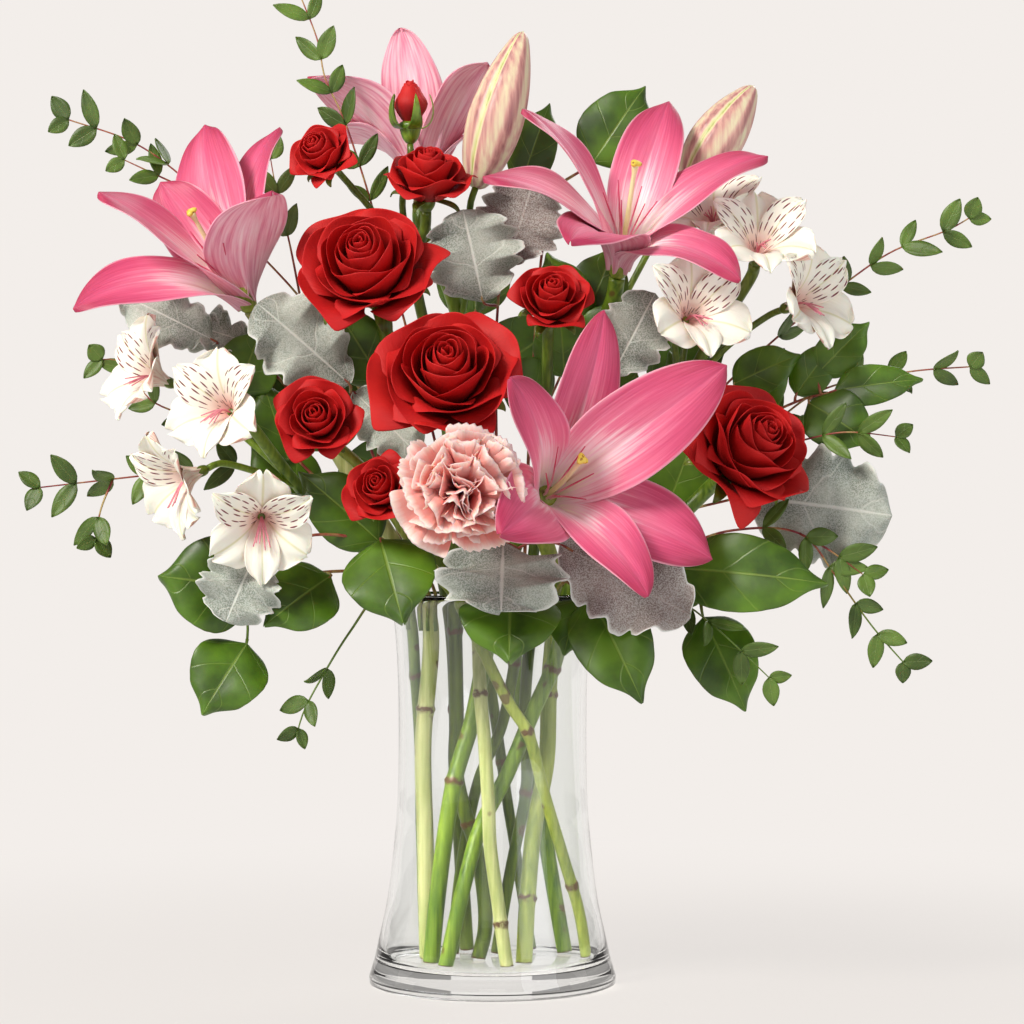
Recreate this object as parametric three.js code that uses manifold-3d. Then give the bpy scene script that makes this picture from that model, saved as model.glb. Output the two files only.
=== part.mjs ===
// A hand-tied mix of cut flowers and greens standing in a clear flared glass vase.
//
// Millimetres, +Z up. The origin is the middle of the vase's flat foot, X runs to the
// right and Y runs away from the side that the bouquet faces.
//
// Every stem stands on the vase's inner floor, crosses the others inside the glass and
// fans out above the rim, and each bloom sits on the end of its own stem.

import * as THREE from 'three';
import { mergeVertices } from 'three/addons/utils/BufferGeometryUtils.js';
import Module from 'manifold-3d';

const wasm = await Module();
wasm.setup();

// ---------------------------------------------------------------- driving dimensions

const VASE_HEIGHT = 215;
const FOOT_RADIUS = 68;
const WAIST_RADIUS = 51.7;
const RIM_RADIUS = 57.5;
const FLOOR_THICKNESS = 11;
const STEM_FOOT = FLOOR_THICKNESS + 1.6;

const ROSE_STEM = 4.1;
const SPRAY_STEM = 3.1;
const LILY_STEM = 4.5;
const CARNATION_STEM = 3.6;
const ALSTROEMERIA_STEM = 3.3;
const PEDICEL = 1.9;
const TWIG = 1.2;
const WOOD_STEP = 28;

const LARGE_ROSE = 78;
const CARNATION = 70;
const FLORET = 62;
const GAP = 0.35;

// ---------------------------------------------------------------- materials

const finish = (color, roughness = 0.6) =>
  new THREE.MeshStandardMaterial({ color, roughness, metalness: 0 });

const CLEAR_GLASS = new THREE.MeshStandardMaterial({
  color: '#e9efee', roughness: 0.03, metalness: 0, transparent: true, opacity: 0.35,
});
const RED_PETAL = finish('#b5161a', 0.7);
const PINK_TEPAL = finish('#e0708f', 0.6);
const GREEN_BUD = finish('#d9c9a6', 0.55);
const SALMON_PETAL = finish('#f0a9a6', 0.75);
const WHITE_TEPAL = finish('#f2ebe0', 0.6);
const FRESH_STEM = finish('#86a645', 0.5);
const FELTED_LEAF = finish('#a9afa9', 0.95);
const WAXY_LEAF = finish('#2f5a1c', 0.4);
const GUM_LEAF = finish('#3e6130', 0.6);

// ---------------------------------------------------------------- helpers

const vec = (p) => new THREE.Vector3(p[0], p[1], p[2]);
const UP = new THREE.Vector3(0, 0, 1);

// A closed three.js geometry as a manifold solid, with doubled corners merged.
function solidFrom(geometry) {
  const bare = geometry.clone();
  bare.deleteAttribute('normal');
  bare.deleteAttribute('uv');
  const merged = mergeVertices(bare, 1e-4);
  const faces = [];
  const index = merged.index.array;
  for (let i = 0; i < index.length; i += 3) {
    const [a, b, c] = [index[i], index[i + 1], index[i + 2]];
    if (a !== b && b !== c && c !== a) faces.push(a, b, c);
  }
  return new wasm.Manifold(new wasm.Mesh({
    numProp: 3,
    vertProperties: new Float32Array(merged.attributes.position.array),
    triVerts: new Uint32Array(faces),
  }));
}

function geometryFrom(solid) {
  const mesh = solid.getMesh();
  const geometry = new THREE.BufferGeometry();
  geometry.setAttribute('position', new THREE.BufferAttribute(new Float32Array(mesh.vertProperties), 3));
  geometry.setIndex(new THREE.BufferAttribute(new Uint32Array(mesh.triVerts), 1));
  geometry.computeVertexNormals();
  return geometry;
}

const join = (solids) => solids.reduce((whole, piece) => whole.add(piece));

// The same solid with every face moved out by the gap that neighbours keep.
function swollen(solid) {
  const geometry = geometryFrom(solid);
  const position = geometry.attributes.position;
  const normal = geometry.attributes.normal;
  for (let i = 0; i < position.count; i += 1) {
    position.setXYZ(
      i,
      position.getX(i) + GAP * normal.getX(i),
      position.getY(i) + GAP * normal.getY(i),
      position.getZ(i) + GAP * normal.getZ(i),
    );
  }
  return solidFrom(geometry);
}

// A round tube along a smooth line through the points.
function tube(points, radius, sides = 7, stepLength = 30) {
  const line = new THREE.CatmullRomCurve3(points.map(vec), false, 'centripetal');
  const section = new THREE.Shape();
  for (let i = 0; i < sides; i += 1) {
    const angle = (2 * Math.PI * i) / sides;
    if (i === 0) section.moveTo(radius, 0);
    else section.lineTo(radius * Math.cos(angle), radius * Math.sin(angle));
  }
  const steps = Math.max(1, Math.round(line.getLength() / stepLength));
  return solidFrom(new THREE.ExtrudeGeometry(section, { steps, extrudePath: line, bevelEnabled: false }));
}

// A thin blade along a curve: a leaf, a petal or a tepal. It is a sphere of rings drawn
// out along the curve, as wide as the outline says, with both ends brought to a point.
function blade(curve, facing, { width, thickness = 2.2, across = 4, along = 6, skew = 0.8,
  blunt = 0.8, lobes = 0 }) {
  const chord = curve.getPoint(1).sub(curve.getPoint(0));
  const side = new THREE.Vector3().crossVectors(chord, facing).normalize();
  const geometry = new THREE.SphereGeometry(1, across, along);
  const position = geometry.attributes.position;
  const point = new THREE.Vector3();
  for (let i = 0; i < position.count; i += 1) {
    point.fromBufferAttribute(position, i);
    const t = Math.acos(THREE.MathUtils.clamp(-point.y, -1, 1)) / Math.PI;
    const turn = Math.atan2(point.z, point.x);
    const ring = Math.sin(Math.PI * t ** skew) ** blunt || 0;
    const scallop = 1 + lobes * Math.cos(2 * Math.PI * t * (along / 2));
    const half = 0.5 * width * ring * scallop;
    const tangent = curve.getTangent(t);
    const normal = new THREE.Vector3().crossVectors(side, tangent).normalize();
    const out = half * Math.cos(turn);
    const rise = 0.5 * thickness * Math.min(1, 3 * ring) * Math.sin(turn);
    const place = curve.getPoint(t).addScaledVector(side, out).addScaledVector(normal, rise);
    position.setXYZ(i, place.x, place.y, place.z);
  }
  const solid = solidFrom(geometry);
  if (solid.volume() > 0) return solid;
  geometry.index.array.reverse();
  return solidFrom(geometry);
}

// A round body turned about +Z from [radius, height] pairs, with shallow lobes round it.
function turned(profile, sides, lobes = 0, depth = 0) {
  const geometry = new THREE.LatheGeometry(profile.map(([r, h]) => new THREE.Vector2(r, h)), sides);
  geometry.rotateX(Math.PI / 2);
  const position = geometry.attributes.position;
  for (let i = 0; i < position.count; i += 1) {
    const angle = Math.atan2(position.getY(i), position.getX(i));
    const swell = 1 + depth * Math.cos(lobes * angle);
    position.setXYZ(i, position.getX(i) * swell, position.getY(i) * swell, position.getZ(i));
  }
  const solid = solidFrom(geometry);
  if (solid.volume() > 0) return solid;
  geometry.index.array.reverse();
  return solidFrom(geometry);
}

// ---------------------------------------------------------------- the bouquet

const bouquet = new THREE.Group();
const built = [];

// Adds a piece that keeps its shape. Its mesh stands at its place and turned to face.
function addPiece(name, solid, material, at = [0, 0, 0], facing = UP) {
  const mesh = new THREE.Mesh(geometryFrom(solid), material);
  mesh.name = name;
  mesh.position.set(...at);
  mesh.quaternion.setFromUnitVectors(UP, facing.clone().normalize());
  mesh.updateMatrix();
  bouquet.add(mesh);
  built.push(solid.transform(mesh.matrix.elements));
}

const touch = (a, b) => {
  const [p, q] = [a.boundingBox(), b.boundingBox()];
  return [0, 1, 2].every((k) => p.min[k] < q.max[k] + 1 && q.min[k] < p.max[k] + 1);
};

// Adds a soft piece that gives way wherever it would run into what is already there.
function addYielding(name, solid, material) {
  const others = built.filter((other) => touch(solid, other));
  const free = others.reduce((rest, other) => rest.subtract(swollen(other)), solid);
  const bodies = free.decompose().sort((a, b) => b.volume() - a.volume());
  addPiece(name, bodies[0], material);
}

// ---------------------------------------------------------------- vase

const vaseProfile = [
  [0, 0], [65, 0], [FOOT_RADIUS, 3.5], [66.5, 9], [62.5, 26], [58.1, 46], [55.1, 69],
  [52.7, 94], [WAIST_RADIUS, 125], [52.1, 170], [54.2, 200], [RIM_RADIUS, VASE_HEIGHT - 1],
  [RIM_RADIUS - 1.7, VASE_HEIGHT], [RIM_RADIUS - 3.4, VASE_HEIGHT - 1], [50.7, 200], [48.5, 165],
  [48.2, 115], [51.4, 69], [58.3, 26], [59.5, 15], [57, FLOOR_THICKNESS], [0, FLOOR_THICKNESS],
];
const VASE_SIDES = 32;
addPiece('vase', turned(vaseProfile, VASE_SIDES), CLEAR_GLASS);

// ---------------------------------------------------------------- heads and their facings

// Each bloom: its middle, the way it faces, and its size across.
const ROSES = [
  { name: 'rose_bloom_upper', middle: [-68, -66, 395], facing: [-0.15, -0.82, 0.55], size: LARGE_ROSE },
  { name: 'rose_bloom_centre', middle: [-23, -96, 336], facing: [0, -0.86, 0.51], size: LARGE_ROSE + 2 },
  { name: 'rose_bloom_right', middle: [141, -65, 298], facing: [0.45, -0.75, 0.48], size: LARGE_ROSE - 3 },
  { name: 'spray_rose_top_left', middle: [-94, -35, 456], facing: [-0.45, -0.75, 0.48], size: 40 },
  { name: 'spray_rose_top', middle: [-35, -27, 447], facing: [0.05, -0.5, 0.86], size: 50 },
  { name: 'spray_rose_right', middle: [32, -55, 377], facing: [0.05, -0.8, 0.6], size: 46 },
  { name: 'spray_rose_left', middle: [-92, -86, 310], facing: [-0.1, -0.95, 0.3], size: 48 },
  { name: 'spray_rose_low', middle: [-59, -92, 274], facing: [-0.25, -0.9, 0.35], size: 40 },
];
const ROSE_DEPTH = 0.52;

const stepBack = (from, facing, distance) =>
  vec(from).addScaledVector(vec(facing).normalize(), -distance).toArray();

for (const rose of ROSES) rose.base = stepBack(rose.middle, rose.facing, ROSE_DEPTH * rose.size);
const roseBase = (name) => ROSES.find((rose) => rose.name === name).base;

// A stem's last stretch runs straight into the back of its bloom.
const intoBloom = (base, facing, run = 12) => [stepBack(base, facing, run), stepBack(base, facing, GAP)];

function roseRoute(name) {
  const rose = ROSES.find((entry) => entry.name === name);
  return intoBloom(rose.base, rose.facing, 0.2 * rose.size);
}

// Each lily: where its stem meets it, the way it faces, and the tips of its six tepals.
const LILIES = [
  { name: 'lily_front', base: [24, -48, 265], facing: [0.38, -0.88, 0.27],
    tips: [[59, -85, 366], [122, -108, 336], [10, -142, 328], [5, -158, 249], [80, -136, 217], [116, -84, 235]] },
  { name: 'lily_upper_right', base: [68, -15, 388], facing: [0.15, -0.45, 0.88],
    tips: [[16, -55, 475], [-5, -62, 438], [98, 16, 488], [149, -34, 452], [130, -92, 381], [41, -97, 401]] },
  { name: 'lily_left', base: [-131, -20, 370], facing: [-0.5, -0.45, 0.74],
    tips: [[-209, -62, 430], [-221, -74, 367], [-158, -2, 473], [-117, 2, 472], [-120, -68, 428], [-181, -16, 440]] },
  { name: 'lily_top', base: [-40, 30, 434], facing: [0, 0.38, 0.92],
    tips: [[-52, 44, 533], [-104, 34, 504], [-3, 40, 513], [-96, 92, 476], [6, 98, 484], [-48, 118, 498]] },
];
const LILY_THROAT = 24;

const BUDS = [
  { name: 'lily_bud_left', base: [-9.4, 5, 439], tip: [17, 10, 526], girth: 32 },
  { name: 'lily_bud_right', base: [108, 24, 442], tip: [146, 27, 498], girth: 31 },
];

// Each alstroemeria floret: its middle and the way it faces.
const FLORETS = [
  { name: 'alstroemeria_left_1', middle: [-190, -35, 337], facing: [-0.75, -0.55, 0.35] },
  { name: 'alstroemeria_left_2', middle: [-146, -72, 317], facing: [-0.45, -0.85, 0.25] },
  { name: 'alstroemeria_left_3', middle: [-171, -52, 275], facing: [-0.75, -0.5, -0.35] },
  { name: 'alstroemeria_left_4', middle: [-120, -86, 252], facing: [0.1, -0.9, -0.35] },
  { name: 'alstroemeria_right_1', middle: [109, -66, 368], facing: [0.35, -0.85, 0.35] },
  { name: 'alstroemeria_right_2', middle: [145, -38, 409], facing: [0.1, -0.75, 0.6] },
  { name: 'alstroemeria_right_3', middle: [173, -34, 376], facing: [0.65, -0.65, 0.25] },
  { name: 'alstroemeria_right_4', middle: [120, -8, 426], facing: [-0.1, -0.6, 0.75] },
];
const FLORET_DEPTH = 23;
for (const floret of FLORETS) floret.base = stepBack(floret.middle, floret.facing, FLORET_DEPTH);

const CARNATION_HEAD = { middle: [-16, -128, 271], facing: [0, -0.97, 0.12] };
CARNATION_HEAD.base = stepBack(CARNATION_HEAD.middle, CARNATION_HEAD.facing, 34);

const SPRAY_BUD = { base: [-45, -6, 462], facing: [0, -0.1, 1] };

// ---------------------------------------------------------------- stems

const lilyRoute = (name) => {
  const lily = LILIES.find((entry) => entry.name === name);
  return intoBloom(lily.base, lily.facing, 14);
};
const budRoute = (name) => {
  const bud = BUDS.find((entry) => entry.name === name);
  return intoBloom(bud.base, vec(bud.tip).sub(vec(bud.base)).toArray(), 10);
};
const floretRoute = (name) => {
  const floret = FLORETS.find((entry) => entry.name === name);
  return intoBloom(floret.base, floret.facing, 8);
};

// Each stem: its main line up from the vase floor, and the side stalks that leave it.
const STEMS = [
  { name: 'rose_stem_upper', radius: ROSE_STEM,
    line: [[-15, 42, STEM_FOOT], [-20, 32, 100], [-24, 16, 205], [-45, -5, 300], ...roseRoute('rose_bloom_upper')] },
  { name: 'rose_stem_centre', radius: ROSE_STEM,
    line: [[-8, -4, STEM_FOOT], [-4, 0, 32], [-7, 3, 65], [-20, 6, 115], [-20, 6, 146], [-21, 2, 205],
      [-22, -24, 262], ...roseRoute('rose_bloom_centre')] },
  { name: 'rose_stem_right', radius: ROSE_STEM,
    line: [[-25, -38, STEM_FOOT], [-14.6, -33, 60], [-6, -26, 90], [8, -24, 118], [22, -24, 152],
      [33, -23, 178], [39, -20, 204], [44, -21, 221], [88, -24, 246], ...roseRoute('rose_bloom_right')] },
  { name: 'spray_stem_top', radius: SPRAY_STEM,
    line: [[22, 42, STEM_FOOT], [8, 36, 100], [-8, 28, 205], [-30, 16, 330], [-43, 6, 395],
      ...roseRoute('spray_rose_top')],
    stalks: [
      [[-40, 8, 380], [-62, -3, 420], ...roseRoute('spray_rose_top_left')],
      [[-41, 7, 388], [-50, 12, 430], ...intoBloom(SPRAY_BUD.base, SPRAY_BUD.facing)],
    ] },
  { name: 'spray_stem_right', radius: SPRAY_STEM,
    line: [[-22, 20, STEM_FOOT], [-20, 20, 46], [-14, 18, 85], [-7.4, 14, 113], [4.8, 8, 141], [12.4, 1, 178],
      [18, 3, 205], [28, -14, 290], ...roseRoute('spray_rose_right')] },
  { name: 'spray_stem_left', radius: SPRAY_STEM,
    line: [[52, -4, STEM_FOOT], [47, -9, 41], [38, -17, 72], [27, -26, 110], [18.4, -38, 142],
      [9, -40, 157], [-8, -41, 192], [-19, -44, 214], [-40, -56, 240], [-70, -56, 284],
      ...roseRoute('spray_rose_left')],
    stalks: [[[-38, -55, 238], [-47, -60, 254], ...roseRoute('spray_rose_low')]] },
  { name: 'lily_stem_left', radius: LILY_STEM,
    line: [[-35.5, -8, STEM_FOOT], [-36.6, -8, 85], [-37.7, -8, 132], [-34, -8, 200], [-42, -10, 222],
      [-80, -14, 285], [-112, -15, 340], ...lilyRoute('lily_left')] },
  { name: 'lily_stem_top', radius: LILY_STEM,
    line: [[41, 23, STEM_FOOT], [26, 35, 100], [8, 40, 205], [-10, 42, 330], [-24, 36, 385],
      ...lilyRoute('lily_top')],
    stalks: [[[-18, 38, 365], [-12, 18, 405], ...budRoute('lily_bud_left')]] },
  { name: 'lily_stem_right', radius: LILY_STEM,
    line: [[-33, -25, STEM_FOOT], [-30, -23, 46], [-24, -17, 94], [-20, -14, 116], [-11, -9, 146],
      [-4.7, -5, 178], [2, -2, 210], [30, 13, 290], [52, 8, 345], ...lilyRoute('lily_upper_right')],
    stalks: [[[42, 12, 322], [76, 22, 385], ...budRoute('lily_bud_right')]] },
  { name: 'lily_stem_front', radius: LILY_STEM,
    line: [[17, -25, STEM_FOOT], [19, -20, 51], [23, -11, 90], [29.4, -6, 123], [31, -4, 165], [34, -6, 210],
      [30, -26, 240], ...lilyRoute('lily_front')] },
  { name: 'carnation_stem', radius: CARNATION_STEM,
    line: [[8, -38, STEM_FOOT], [3, -37, 50], [-1, -37, 80], [-2, -36, 103], [-4, -34, 135],
      [-6.5, -30, 165], [-8, -27, 200], [-13, -48, 242], ...intoBloom(CARNATION_HEAD.base, CARNATION_HEAD.facing)] },
  { name: 'alstroemeria_stem_left', radius: ALSTROEMERIA_STEM,
    line: [[-38, 18, STEM_FOOT], [-40, 13, 80], [-41, 7, 137], [-43, 3, 170], [-45, 0, 200], [-50, -2, 219], [-92, -10, 258],
      [-112, -22, 282], ...floretRoute('alstroemeria_left_2')],
    stalks: [
      [[-108, -20, 277], [-140, -12, 305], ...floretRoute('alstroemeria_left_1')],
      [[-106, -18, 274], [-128, -28, 282], ...floretRoute('alstroemeria_left_3')],
      [[-100, -14, 268], [-118, -40, 268], ...floretRoute('alstroemeria_left_4')],
    ] },
  { name: 'alstroemeria_stem_right', radius: ALSTROEMERIA_STEM,
    line: [[2, 25, STEM_FOOT], [8, 22, 50], [15, 18, 85], [19, 15, 110], [18, 11, 155], [26, 8, 208],
      [65, 4, 270], [104, -8, 326], [118, -16, 352], ...floretRoute('alstroemeria_right_2')],
    stalks: [
      [[98, -6, 316], [100, -24, 338], ...floretRoute('alstroemeria_right_1')],
      [[102, -7, 322], [130, -12, 352], ...floretRoute('alstroemeria_right_3')],
      [[101, -6, 320], [110, 8, 370], ...floretRoute('alstroemeria_right_4')],
    ] },
];

for (const stem of STEMS) {
  const parts = [tube(stem.line, stem.radius)];
  for (const stalk of stem.stalks ?? []) parts.push(tube(stalk, PEDICEL, 5, 24));
  addPiece(stem.name, join(parts), FRESH_STEM);
}

// ---------------------------------------------------------------- roses

// A rose head one unit across, standing on its hip: calyx, bowl of petals, coiled middle.
const ROSE_PROFILE = [
  [0, 0], [0.06, 0], [0.1, 0.05], [0.09, 0.11], [0.36, 0.27], [0.5, 0.52], [0.42, 0.66],
  [0.28, 0.68], [0.2, 0.76], [0, 0.75],
];
const ROSE_SIDES = 12;
const OUTER_PETALS = 5;

for (const rose of ROSES) {
  const profile = ROSE_PROFILE.map(([r, h]) => [r * rose.size, h * rose.size]);
  addPiece(rose.name, turned(profile, ROSE_SIDES, OUTER_PETALS, 0.04), RED_PETAL, rose.base, vec(rose.facing));
}

const SPRAY_BUD_PROFILE = [
  [0, 0], [2.2, 0], [5, 3], [5, 7], [9.5, 12], [11.5, 20], [10.5, 28], [7, 34], [0, 36],
];
addPiece('spray_rose_bud', turned(SPRAY_BUD_PROFILE, 10), RED_PETAL, SPRAY_BUD.base, vec(SPRAY_BUD.facing));

// ---------------------------------------------------------------- carnation

const CARNATION_PROFILE = [
  [0, 0], [5, 0], [7.5, 6], [7, 22], [22, 25], [33, 31], [35, 38], [31, 46], [19, 54], [0, 57],
];
const CARNATION_RUFFLES = 7;
addPiece('carnation_bloom', turned(CARNATION_PROFILE, 21, CARNATION_RUFFLES, 0.05), SALMON_PETAL,
  CARNATION_HEAD.base, vec(CARNATION_HEAD.facing));

// ---------------------------------------------------------------- lilies

// A tepal leaves the throat along the flower's axis, opens out and bends its tip back.
function tepal(throat, tip, axis, width) {
  const reach = throat.distanceTo(tip);
  const away = tip.clone().sub(throat);
  const first = throat.clone().addScaledVector(axis, 0.3 * reach).addScaledVector(away, 0.08);
  const second = tip.clone().addScaledVector(axis, 0.26 * reach).addScaledVector(away, -0.22);
  const curve = new THREE.CubicBezierCurve3(throat, first, second, tip);
  return blade(curve, axis, { width, thickness: 2.6, along: 6, skew: 0.85, blunt: 0.9 });
}

const TEPAL_WIDTHS = [34, 40];
const TEPAL_ROOT = 5;

for (const lily of LILIES) {
  const axis = vec(lily.facing).normalize();
  const base = vec(lily.base);
  const heart = base.clone().addScaledVector(axis, 0.45 * LILY_THROAT);
  const cone = turned([[0, 0], [4.4, 0], [6.5, 10], [13, LILY_THROAT], [0, LILY_THROAT]], 8);
  const turn = new THREE.Matrix4().compose(
    base, new THREE.Quaternion().setFromUnitVectors(UP, axis), new THREE.Vector3(1, 1, 1),
  );
  const parts = [cone.transform(turn.elements)];
  lily.tips.map(vec).forEach((tip, i) => {
    const outward = tip.clone().sub(heart).projectOnPlane(axis).normalize();
    const root = heart.clone().addScaledVector(outward, TEPAL_ROOT);
    parts.push(tepal(root, tip, axis, TEPAL_WIDTHS[i % 2]));
  });
  addYielding(lily.name, join(parts), PINK_TEPAL);
}

// A closed bud one unit long and one unit across.
const BUD_PROFILE = [
  [0, 0], [0.13, 0], [0.28, 0.1], [0.43, 0.28], [0.5, 0.5], [0.44, 0.7], [0.26, 0.88], [0.1, 0.97], [0, 1],
];
for (const bud of BUDS) {
  const along = vec(bud.tip).sub(vec(bud.base));
  const profile = BUD_PROFILE.map(([r, h]) => [r * bud.girth, h * along.length()]);
  addPiece(bud.name, turned(profile, 9, 3, 0.05), GREEN_BUD, bud.base, along);
}

// ---------------------------------------------------------------- alstroemeria

// A floret opens from a slim trumpet into six tepals, made here as one six-lobed funnel.
const TEPALS = 6;
const TEPAL_LOBE = 0.18;
const FLORET_RIM = (0.5 * FLORET) / (1 + TEPAL_LOBE);
const FLORET_PROFILE = [
  [0, 0], [2.4, 0], [6, 18], [FLORET_RIM, 29], [FLORET_RIM - 1, 30.6], [0, 21],
];
const floretSolid = turned(FLORET_PROFILE, 2 * TEPALS, TEPALS, TEPAL_LOBE);
for (const floret of FLORETS) {
  const facing = new THREE.Quaternion().setFromUnitVectors(UP, vec(floret.facing).normalize());
  const turn = new THREE.Matrix4().compose(vec(floret.base), facing, new THREE.Vector3(1, 1, 1));
  addYielding(floret.name, floretSolid.transform(turn.elements), WHITE_TEPAL);
}

// ---------------------------------------------------------------- leaves

const nearestTo = (place, points) =>
  points.reduce((best, point) => (point.distanceTo(place) < best.distanceTo(place) ? point : best));

// The wood of a green: a trunk, and side shoots that each leave the trunk's nearest ring.
// It gives the tubes and the middles of their rings.
function woodOf(lines) {
  const rings = [];
  const tubes = lines.map((line, n) => {
    const points = n ? [nearestTo(vec(line[0]), rings).toArray(), ...line.slice(1)] : line;
    const curve = new THREE.CatmullRomCurve3(points.map(vec), false, 'centripetal');
    const steps = Math.max(2, Math.round(curve.getLength() / WOOD_STEP));
    rings.push(...curve.getSpacedPoints(steps).slice(1));
    return tube(points, n ? 0.9 * TWIG : TWIG, 4, WOOD_STEP);
  });
  return { tubes, rings };
}

// A leafy branch: its wood, and leaves that each hang on a short stalk from the nearest
// ring of the wood.
function branch({ twig, shoots = [], leaves, facing = [0, -1, 0.2] }, shape) {
  const { tubes, rings } = woodOf([twig, ...shoots]);
  const parts = [...tubes];
  for (const leaf of leaves) {
    const base = vec(leaf.base);
    const tip = vec(leaf.tip);
    const ring = nearestTo(base, rings);
    const face = vec(leaf.facing ?? facing).normalize();
    const bow = shape.bow * base.distanceTo(tip);
    const middle = base.clone().lerp(tip, 0.5).addScaledVector(face, bow);
    const curve = new THREE.QuadraticBezierCurve3(base, middle, tip);
    parts.push(tube([ring.toArray(), curve.getPoint(0.16).toArray()], 0.9, 4, 100));
    parts.push(blade(curve, face, { ...shape, width: leaf.width }));
  }
  return join(parts);
}

// A green's lowest stretch: just inside the vase's neck and up over its rim, at an angle
// round the vase in degrees.
function fromNeck(degrees) {
  const angle = THREE.MathUtils.degToRad(degrees);
  const [c, s] = [Math.cos(angle), Math.sin(angle)];
  return [[47 * c, 47 * s, 196], [50.5 * c, 50.5 * s, 220]];
}

const SALAL = { thickness: 1.8, along: 5, skew: 0.72, blunt: 0.7, bow: 0.12 };
const DUSTY_MILLER = { thickness: 2, along: 8, skew: 1.15, blunt: 0.7, lobes: 0.12, bow: 0.06 };

const DUSTY_MILLER_BRANCHES = [
  { name: 'dusty_miller_left', twig: [[-36, 6, 196], [-60, -4, 275], [-77, -24, 325]],
    leaves: [
      { base: [-77, -30, 329], tip: [-126, -44, 372], width: 44 },
      { base: [-75, -22, 325], tip: [-40, -30, 291], width: 30 },
    ] },
  { name: 'dusty_miller_far_left', twig: [...fromNeck(152), [-85, 15, 290], [-130, -2, 345], [-150, -8, 352]],
    leaves: [
      { base: [-151, -10, 353], tip: [-203, -16, 379], width: 30 },
      { base: [-132, -4, 352], tip: [-172, -8, 364], width: 24, facing: [0, -0.9, 0.4] },
    ] },
  { name: 'dusty_miller_top', twig: [[4, 20, 200], [2, 12, 300], [2, -4, 355], [4, -8, 388]],
    leaves: [
      { base: [-5, -18, 374], tip: [-16, -26, 424], width: 50 },
      { base: [8, -10, 396], tip: [22, -10, 441], width: 44 },
    ] },
  { name: 'dusty_miller_middle', twig: [[20, 20, 200], [40, 4, 275], [63, -32, 328]],
    leaves: [{ base: [65, -38, 334], tip: [88, -36, 378], width: 36 }] },
  { name: 'dusty_miller_right', twig: [...fromNeck(4), [95, -6, 256], [134, -22, 268]],
    leaves: [{ base: [138, -27, 268], tip: [216, -34, 258], width: 58 }] },
  { name: 'dusty_miller_front', twig: [...fromNeck(-88), [7, -64, 236], [22, -72, 245]],
    leaves: [
      { base: [6, -74, 244], tip: [5, -100, 208], width: 62 },
      { base: [36, -75, 243], tip: [104, -94, 206], width: 48 },
    ] },
  { name: 'dusty_miller_low_left', twig: [...fromNeck(-143), [-62, -46, 242], [-92, -62, 248], [-122, -68, 240]],
    leaves: [{ base: [-125, -68, 238], tip: [-140, -76, 202], width: 40 }] },
];

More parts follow.
